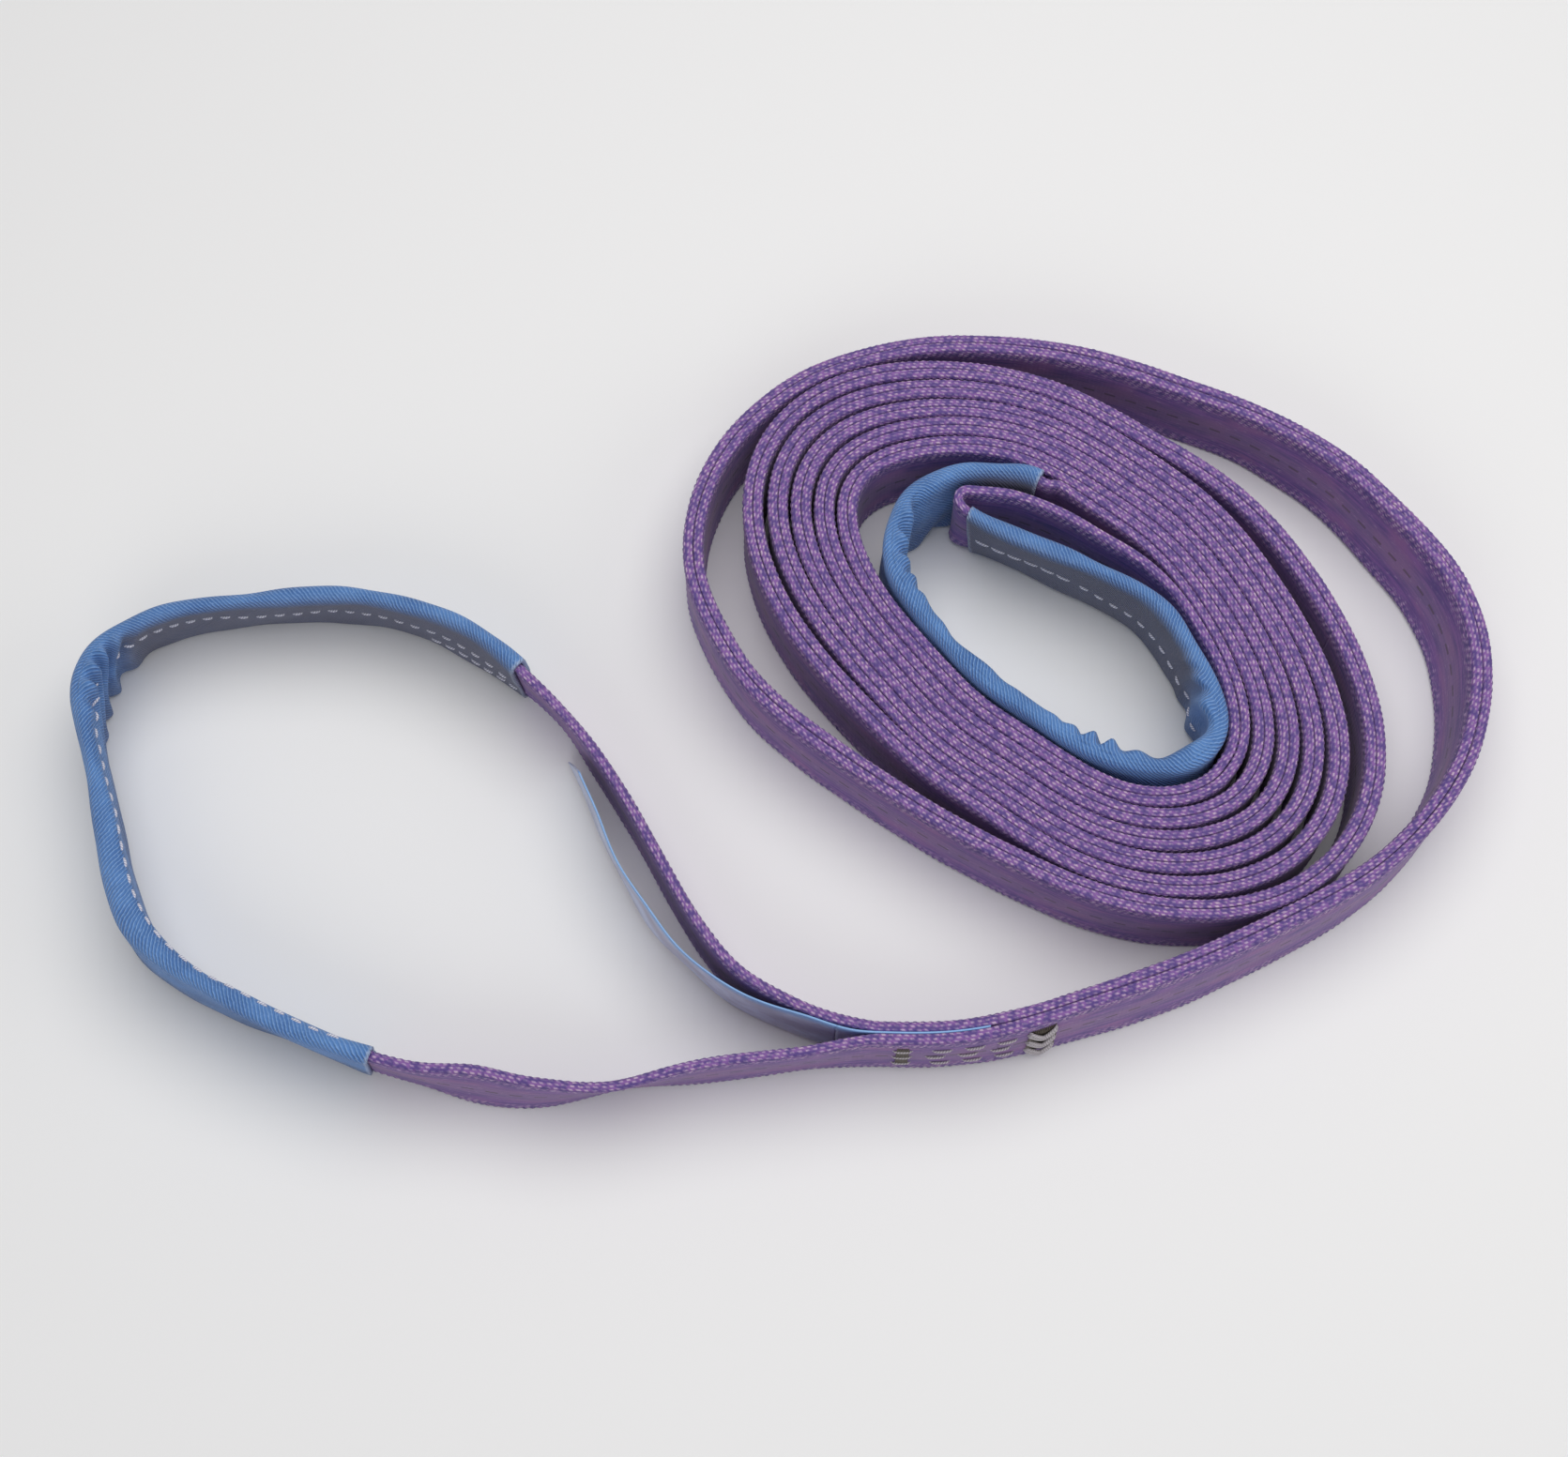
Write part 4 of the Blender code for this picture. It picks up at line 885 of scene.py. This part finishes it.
def threads_through(name, points, up, radius, material):
    """Each row of points becomes a six-sided tube whose ends draw in nearly to a point."""
    along = np.gradient(points, axis=1)
    along /= np.linalg.norm(along, axis=2)[..., None]
    over = np.cross(along, up)
    over /= np.linalg.norm(over, axis=2)[..., None]
    up = np.cross(over, along)
    spoke = np.arange(THREAD_SIDES)
    turn = (2 * np.pi / THREAD_SIDES * spoke)[:, None]
    count = points.shape[1]
    taper = np.ones(count)
    taper[[0, -1]] = THREAD_TAPER[0]
    taper[[1, -2]] = THREAD_TAPER[1]
    wide = radius * MM * taper[None, :, None, None]
    rings = points[:, :, None] + wide * (up[:, :, None] * np.cos(turn) + over[:, :, None] * np.sin(turn))
    first = np.arange(len(points))[:, None, None] * count * THREAD_SIDES
    ring = first + np.arange(count - 1)[None, :, None] * THREAD_SIDES
    here, after = ring + spoke, ring + (spoke + 1) % THREAD_SIDES
    quads = np.stack([here, after, after + THREAD_SIDES, here + THREAD_SIDES], -1).reshape(-1, 4)
    last = first[:, 0] + (count - 1) * THREAD_SIDES
    caps = np.concatenate([first[:, 0] + spoke[::-1], last + spoke])
    mesh = bpy.data.meshes.new(name)
    mesh.from_pydata(rings.reshape(-1, 3).tolist(), [], [*quads.tolist(), *caps.tolist()])
    long = np.linalg.norm(np.diff(points, axis=1), axis=2).sum(1)
    ring_u = np.linspace(0, 1, count)[None, :, None] * long[:, None, None]
    flat = np.stack(np.broadcast_arrays(ring_u, spoke * radius * MM), -1).reshape(-1, 2)
    corner = np.zeros(len(mesh.loops), np.int32)
    mesh.loops.foreach_get("vertex_index", corner)
    mesh.uv_layers.new(name="UVMap")
    mesh.uv_layers["UVMap"].uv.foreach_set("vector", flat[corner].astype(np.float32).ravel())
    mesh.shade_smooth()
    mesh.materials.append(material)
    piece = bpy.data.objects.new(name, mesh)
    bpy.context.scene.collection.objects.link(piece)
    shape = bmesh.new()
    shape.from_mesh(mesh)
    bmesh.ops.recalc_face_normals(shape, faces=shape.faces)
    shape.to_mesh(mesh)
    shape.free()
    return piece


def row_of_stitches(starts, length, side, height):
    """Points of a row of stitches: each runs straight, with its two ends sunk into the cloth."""
    share = np.linspace(0, 1, STITCH_POINTS)[None]
    sunk = 1 - eased(0, STITCH_END, share) * eased(0, STITCH_END, 1 - share)
    run = np.array(starts)[:, None] + share * length
    return np.broadcast_arrays(run, side - np.sign(side) * STITCH_SUNK * sunk, height)


def laid_on(surface, run, v, out):
    """Points that lie on a sleeve's rippled cloth, at a run and a distance round, read between its
    grid's points and moved out along its normal. Returns the points and the normals."""
    rows, columns, grid = surface
    i = np.clip(np.searchsorted(rows, run) - 1, 0, len(rows) - 2)
    k = np.clip(np.searchsorted(columns, v) - 1, 0, len(columns) - 2)
    a = ((run - rows[i]) / (rows[i + 1] - rows[i]))[..., None]
    b = ((v - columns[k]) / (columns[k + 1] - columns[k]))[..., None]
    low = grid[i, k] * (1 - b) + grid[i, k + 1] * b
    high = grid[i + 1, k] * (1 - b) + grid[i + 1, k + 1] * b
    normal = np.cross(high - low, grid[i, k + 1] - grid[i, k])
    normal /= np.linalg.norm(normal, axis=-1)[..., None]
    return low * (1 - a) + high * a + normal * out[..., None] * MM, normal


for number, body in ((1, "outer_eye"), (2, "coil")):
    end = cloth[number][0][-1]
    if number == 1:
        starts = np.arange(LONG_ROW[0], end - LONG_ROW[1], STITCH_PITCH)
        fold = np.arange(*FOLD_ROW[:2], FOLD_PITCH)
        more = row_of_stitches(fold, FOLD_LENGTH, ON_CLOTH, FOLD_ROW[2])
    else:
        starts = np.arange(SHORT_ROW, end - LOCKED_RUN - ROW_GAP, STITCH_PITCH)
        locked = np.arange(end - LOCKED_RUN, end - ROW_GAP, STITCH_PITCH)
        more = row_of_stitches(locked, LOCKED_LENGTH, ON_CLOTH, 0)
    sets = row_of_stitches(starts, STITCH_LENGTH, ON_CLOTH, 0)
    run, out, down = (np.concatenate(pair) for pair in zip(sets, more))
    down = down + np.interp(run, *np.array(STITCH_DIPS[number - 1]).T)
    points, normal = laid_on(cloth[number], run, down, STITCH_RADIUS / 2 + out - ON_CLOTH)
    piece = threads_through(f"eye_{number}_sleeve_stitches", points, normal, STITCH_RADIUS, white_thread)
    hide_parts(f"eye_{number}_sleeve_seam")
    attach(piece, body)

# The label: a thin pale blue strip sewn between the plies at the large throat. Its free end
# stands beside the eye, cut aslant at its tip. It carries no words.
LABEL_ROUTE = (
    (-61.5, -126.5, 0), (-68, -124.8, 0),
    (-75, -122.2, 0), (-87, -117.6, 2), (-99, -111.4, 3), (-110, -102.5, 3),
    (-122.5, -88.5, 3), (-131, -75, 2), (-138, -60, 0), (-144, -46, -2), (-149, -33, -3),
)
LABEL_LOW, LABEL_HIGH, LABEL_THICK = 1.5, 27.5, 0.5
LABEL_SEWN_LIFT = 2.9      # it stands this much higher where it is sewn in
LABEL_SEWN_EASE = (5.0, 45.0)
LABEL_TIP_CUT, LABEL_TIP_RUN = 14.0, 60.0
LABEL_WAVE, LABEL_SMALL_WAVE, LABEL_WAVES_FROM = 0.7, 0.35, (60.0, 110.0)
LABEL_WAVE_RUN, LABEL_SMALL_RUN, LABEL_WAVE_SLANT = 11.0, 5.5, 3.0
LABEL_ROWS = 16
LABEL_EDGE = 0.1
LABEL_PARTS_AT = -67.0      # the sewn part and the free part meet here
LABEL_BLUE = (0.250, 0.470, 0.850)
LABEL_PALE = (0.640, 0.700, 0.880)
LABEL_GREY = (0.440, 0.440, 0.560)
LABEL_THREAD = (0.750, 0.830, 0.950)
LABEL_PITCH = 0.55
LABEL_STEP = 0.9
STAIN_NOISE, STAINS_SHOW, STAIN_RELIEF = (40, 60, 1), (0.35, 0.65), 2.0
BLUE_FROM_TOP, WEAVE_SHOWS = (1.0, 7.0, 1, 0), (-0.5, 1.0, 0, 0.2)
LABEL_RELIEF = (0.35, 0.10)


def label_material():
    """A fine plain weave, grey where it is stained, and bluest along its upper edge."""
    material, tree, shader = new_material("pale blue label cloth")
    uv, u, v = on_cloth(tree)
    weave = calc(tree, "MULTIPLY", wave(tree, u, LABEL_PITCH), wave(tree, v, LABEL_PITCH))
    stain = cloud(tree, uv, STAIN_NOISE, 4.0, 0.6)
    colour = mixed(tree, ramp(tree, stain, *STAINS_SHOW), LABEL_GREY, LABEL_PALE)
    from_top = calc(tree, "ABSOLUTE", calc(tree, "SUBTRACT", v, (LABEL_HIGH - LABEL_LOW) * MM))
    colour = mixed(tree, band(tree, from_top, *BLUE_FROM_TOP), colour, LABEL_BLUE)
    colour = mixed(tree, ramp(tree, weave, *WEAVE_SHOWS), colour, LABEL_THREAD)
    relief = calc(tree, "MULTIPLY_ADD", stain, STAIN_RELIEF, weave)
    finished(tree, shader, colour, relief, *LABEL_RELIEF, {"Roughness": 0.5})
    return material


label_cloth = label_material()
sewn_in = body_line[body_run <= LABEL_SEWN][::-1] * [1, 1, -1]
label_free = drawn_through([BODY_ROUTE[0], *LABEL_ROUTE])
label_line = np.concatenate([sewn_in, label_free[2:]])
label_run = run_of(label_line)
label_left = left_of(label_line)


def label_piece(name, start, end, nodes, cut=0.0):
    """A thin strip along the label's line, from edge to edge in both faces: it waves gently
    across, and near the tip the upper side is drawn back along the line to cut it aslant."""
    even = np.linspace(start, end, int((end - start) / LABEL_STEP) + 2)
    heights = np.linspace(LABEL_LOW, LABEL_HIGH, LABEL_ROWS)
    side = np.full(LABEL_ROWS, LABEL_THICK / 2)
    ring_h = np.concatenate([heights, [LABEL_HIGH + LABEL_EDGE], heights[::-1]])
    ring_side = np.concatenate([-side, [0], side])
    up = (ring_h - LABEL_LOW) / (LABEL_HIGH - LABEL_LOW)
    share = np.clip(1 - (end - even) / LABEL_TIP_RUN, 0, 1)[:, None]
    place = even[:, None] - cut * up[None] * share ** 2
    x, y, lean, lx, ly = (np.interp(place, label_run, column) for column in (*label_line.T, *label_left.T))
    wavy = LABEL_WAVE * np.sin(place / LABEL_WAVE_RUN) * (up[None] - 0.5)
    wavy = wavy + LABEL_SMALL_WAVE * np.sin(place / LABEL_SMALL_RUN + LABEL_WAVE_SLANT * up[None])
    out = ring_side[None] + eased(*LABEL_WAVES_FROM, place) * wavy
    settled = eased(LABEL_SEWN + LABEL_SEWN_EASE[0], LABEL_SEWN + LABEL_SEWN_EASE[1], place)
    lifted = ring_h[None] + LABEL_SEWN_LIFT * (1 - settled)
    points = beside(x, y, np.stack([lx, ly], -1), lean, out, lifted)
    steps = np.hypot(np.diff(ring_side), np.diff(ring_h))
    v = np.concatenate([[0], np.cumsum(steps), [2 * (LABEL_HIGH - LABEL_LOW) + 1]])
    piece = mesh_of(name, points, place * MM, v * MM, label_cloth)
    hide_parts(*nodes)
    return piece


parts_at = label_run[np.argmin(np.abs(label_line[:, 0] - LABEL_PARTS_AT))]
label_root = label_piece("label_sewn_part", 0.0, parts_at, ["label_sewn_end", "label_neck"])
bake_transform(label_root)
label_flag = label_piece("label_free_part", parts_at, label_run[-1], ["label_free_end"], LABEL_TIP_CUT)
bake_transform(label_flag)

# The sewing of the large throat, on its outer face: a dark bar tack across the webbing crossed by
# three pale stitches, three rows of long pale stitches, and a heavy chevron of thread that locks
# the end of the seam.
THREAD_PALE = (0.640, 0.600, 0.640)
THREAD_GREY = (0.360, 0.320, 0.350)
THREAD_DARK = (0.060, 0.047, 0.035)
THREAD_BROWN = (0.110, 0.085, 0.060)
THREAD_PROUD = 0.2          # the middle of a thread lies this far off the face
THROAT_FACE = -(THROAT_SPACING / 2 + HALF_OUTER + THREAD_PROUD)
ROW_HEIGHTS = (8.0, 15.0, 22.0)
BAR_TACK_RUN, BAR_TACK_HEIGHT = (7.0, 10.4), (4.0, 26.0)
BAR_PITCH, BAR_RADIUS = 0.62, 0.36
BAR_CROSSING = 5.2          # the three stitches that cross the bar start here
ROW_RUN = (15.0, 38.0)
ROW_PITCH, ROW_SHIFT, ROW_LENGTH, ROW_RADIUS = 9.4, 1.6, 6.4, 0.42
ROW_PROUD = 0.3
CHEVRON_RUN = (44.5, 54.0)
CHEVRONS, CHEVRON_LOW, CHEVRON_DEPTH, CHEVRON_RISE = 3, 2.2, 4.6, 7.6
CHEVRON_POINTS, CHEVRON_ROUND, CHEVRON_END, CHEVRON_SUNK = 13, 0.02, 0.85, 0.5
STRANDS, STRAND_PITCH, STRAND_RADIUS, STRAND_BULGE = 4, 0.95, 0.52, 0.9
STRAND_SHORTER, STRAND_PROUD = 0.05, 0.2    # from each strand to the next, and every other strand
BED_RUN, BED_HEIGHT, BED_PITCH, BED_SUNK = (45.5, 53.5), (4.0, 25.5), 0.7, 0.1
UPRIGHT_POINTS, UPRIGHT_END, UPRIGHT_SUNK = 9, 0.12, 0.6

pale_thread = thread_material("pale seam thread", THREAD_PALE, THREAD_GREY)
dark_thread = thread_material("dark tack thread", THREAD_BROWN, THREAD_DARK)


def upright_threads(runs, low, high, side):
    """Points of threads that stand across the webbing, side by side, with both ends sunk in."""
    share = np.linspace(0, 1, UPRIGHT_POINTS)[None]
    sunk = 1 - eased(0, UPRIGHT_END, share) * eased(0, UPRIGHT_END, 1 - share)
    side = side - np.sign(side) * UPRIGHT_SUNK * sunk
    return np.broadcast_arrays(np.array(runs)[:, None], side, low + (high - low) * share)


bar_points = upright_threads(np.arange(*BAR_TACK_RUN, BAR_PITCH), *BAR_TACK_HEIGHT, THROAT_FACE)
bar = threads("throat_1_bar_tack_threads", body_line, *bar_points, BAR_RADIUS, dark_thread)
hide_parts("throat_1_bar_tack")
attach(bar, "tail")
for number, height in enumerate(ROW_HEIGHTS, 1):
    starts = [BAR_CROSSING, *np.arange(ROW_RUN[0] + ROW_SHIFT * (number % 2), ROW_RUN[1], ROW_PITCH)]
    row = row_of_stitches(starts, ROW_LENGTH, THROAT_FACE - ROW_PROUD, height)
    piece = threads(f"throat_1_row_{number}_stitches", body_line, *row, ROW_RADIUS, pale_thread)
    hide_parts(f"throat_1_stitch_row_{number}")
    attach(piece, "tail")


def chevrons(side):
    """Points of stacked V shapes: each strand runs from the upper left down to the middle and up
    to the right, as a rounded absolute value of the way across, and bulges out at its middle."""
    share = np.linspace(-1, 1, CHEVRON_POINTS)[None]
    number = np.arange(CHEVRONS * STRANDS)[:, None]
    strand = number % STRANDS
    base = CHEVRON_LOW + number // STRANDS * CHEVRON_RISE + strand * STRAND_PITCH
    across = np.mean(CHEVRON_RUN) + share * np.ptp(CHEVRON_RUN) / 2 * (1 - STRAND_SHORTER * strand)
    bulge = STRAND_BULGE * (1 - share ** 2) + STRAND_PROUD * (strand % 2)
    sunk = CHEVRON_SUNK * eased(CHEVRON_END, 1, np.abs(share))
    return across, side - bulge + sunk, base + CHEVRON_DEPTH * np.sqrt(share ** 2 + CHEVRON_ROUND)


knot = threads("throat_1_chevron_threads", body_line, *chevrons(THROAT_FACE), STRAND_RADIUS, pale_thread)
bed_points = upright_threads(np.arange(*BED_RUN, BED_PITCH), *BED_HEIGHT, THROAT_FACE + BED_SUNK)
bed = threads("throat_1_chevron_bed", body_line, *bed_points, ROW_RADIUS, dark_thread)
for piece in (knot, bed):
    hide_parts("throat_1_chevron_tack")
    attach(piece, "tail")

# The tack that closes the throat of the small eye, on the inner face of the pack's last turn.
SMALL_TACK, SMALL_TACK_HEIGHT = (2.0, 12.0), (3.0, 27.0)
SMALL_TACK_PITCH, SMALL_TACK_RADIUS = 0.75, 0.38

small_face = PLY_SPACING / 2 + HALF_OUTER + THREAD_PROUD
small_run = body_run[-1] - np.arange(*SMALL_TACK, SMALL_TACK_PITCH)
small_points = upright_threads(small_run, *SMALL_TACK_HEIGHT, small_face)
tack = threads("throat_2_tack_threads", body_line, *small_points, SMALL_TACK_RADIUS, pale_thread)
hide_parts("throat_2_tack")
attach(tack, "coil")

# The studio: a plain pale floor, a wide soft light above, and weaker fills from the front and side.
FLOOR_PALE = (0.90, 0.90, 0.91)
FLOOR_DROP, FLOOR_HALF = 0.0004, 4
LIGHTS_AIM = np.array([0, 0, 0.01])
LIGHTS = (  # place, size, watts, colour
    ((0.10, 0.25, 1.10), 1.3, 9.0, (1.0, 0.99, 0.97)),
    ((-0.30, -1.20, 0.90), 0.9, 3.6, (0.97, 0.98, 1.0)),
    ((1.00, -0.20, 0.60), 0.8, 1.8, (1.0, 0.98, 0.96)),
)
WORLD_STRENGTH = 0.26

floor_mesh = bpy.data.meshes.new("floor")
corners = [(x * FLOOR_HALF, y * FLOOR_HALF, -FLOOR_DROP) for x, y in ((-1, -1), (1, -1), (1, 1), (-1, 1))]
floor_mesh.from_pydata(corners, [], [(0, 1, 2, 3)])
floor_material, _, floor_shader = new_material("pale floor")
floor_shader.inputs["Base Color"].default_value = (*FLOOR_PALE, 1)
floor_shader.inputs["Roughness"].default_value = 0.9
floor_mesh.materials.append(floor_material)
floor = bpy.data.objects.new("floor", floor_mesh)
bpy.context.scene.collection.objects.link(floor)
for number, (place, size, watts, colour) in enumerate(LIGHTS, 1):
    light = bpy.data.lights.new(f"soft_light_{number}", "AREA")
    light.shape = "DISK"
    light.size = size
    light.energy = watts
    light.color = colour
    lamp = bpy.data.objects.new(light.name, light)
    lamp.location = place
    aim = LIGHTS_AIM - np.array(place)
    yaw = np.arctan2(aim[1], aim[0]) - np.pi / 2
    pitch = np.arccos(-aim[2] / np.linalg.norm(aim))
    lamp.rotation_euler = (pitch, 0, yaw)
    bpy.context.scene.collection.objects.link(lamp)
world = bpy.data.worlds.new("studio")
world.use_nodes = True
world.node_tree.nodes["Background"].inputs["Color"].default_value = (1, 1, 1, 1)
world.node_tree.nodes["Background"].inputs["Strength"].default_value = WORLD_STRENGTH
bpy.context.scene.world = world
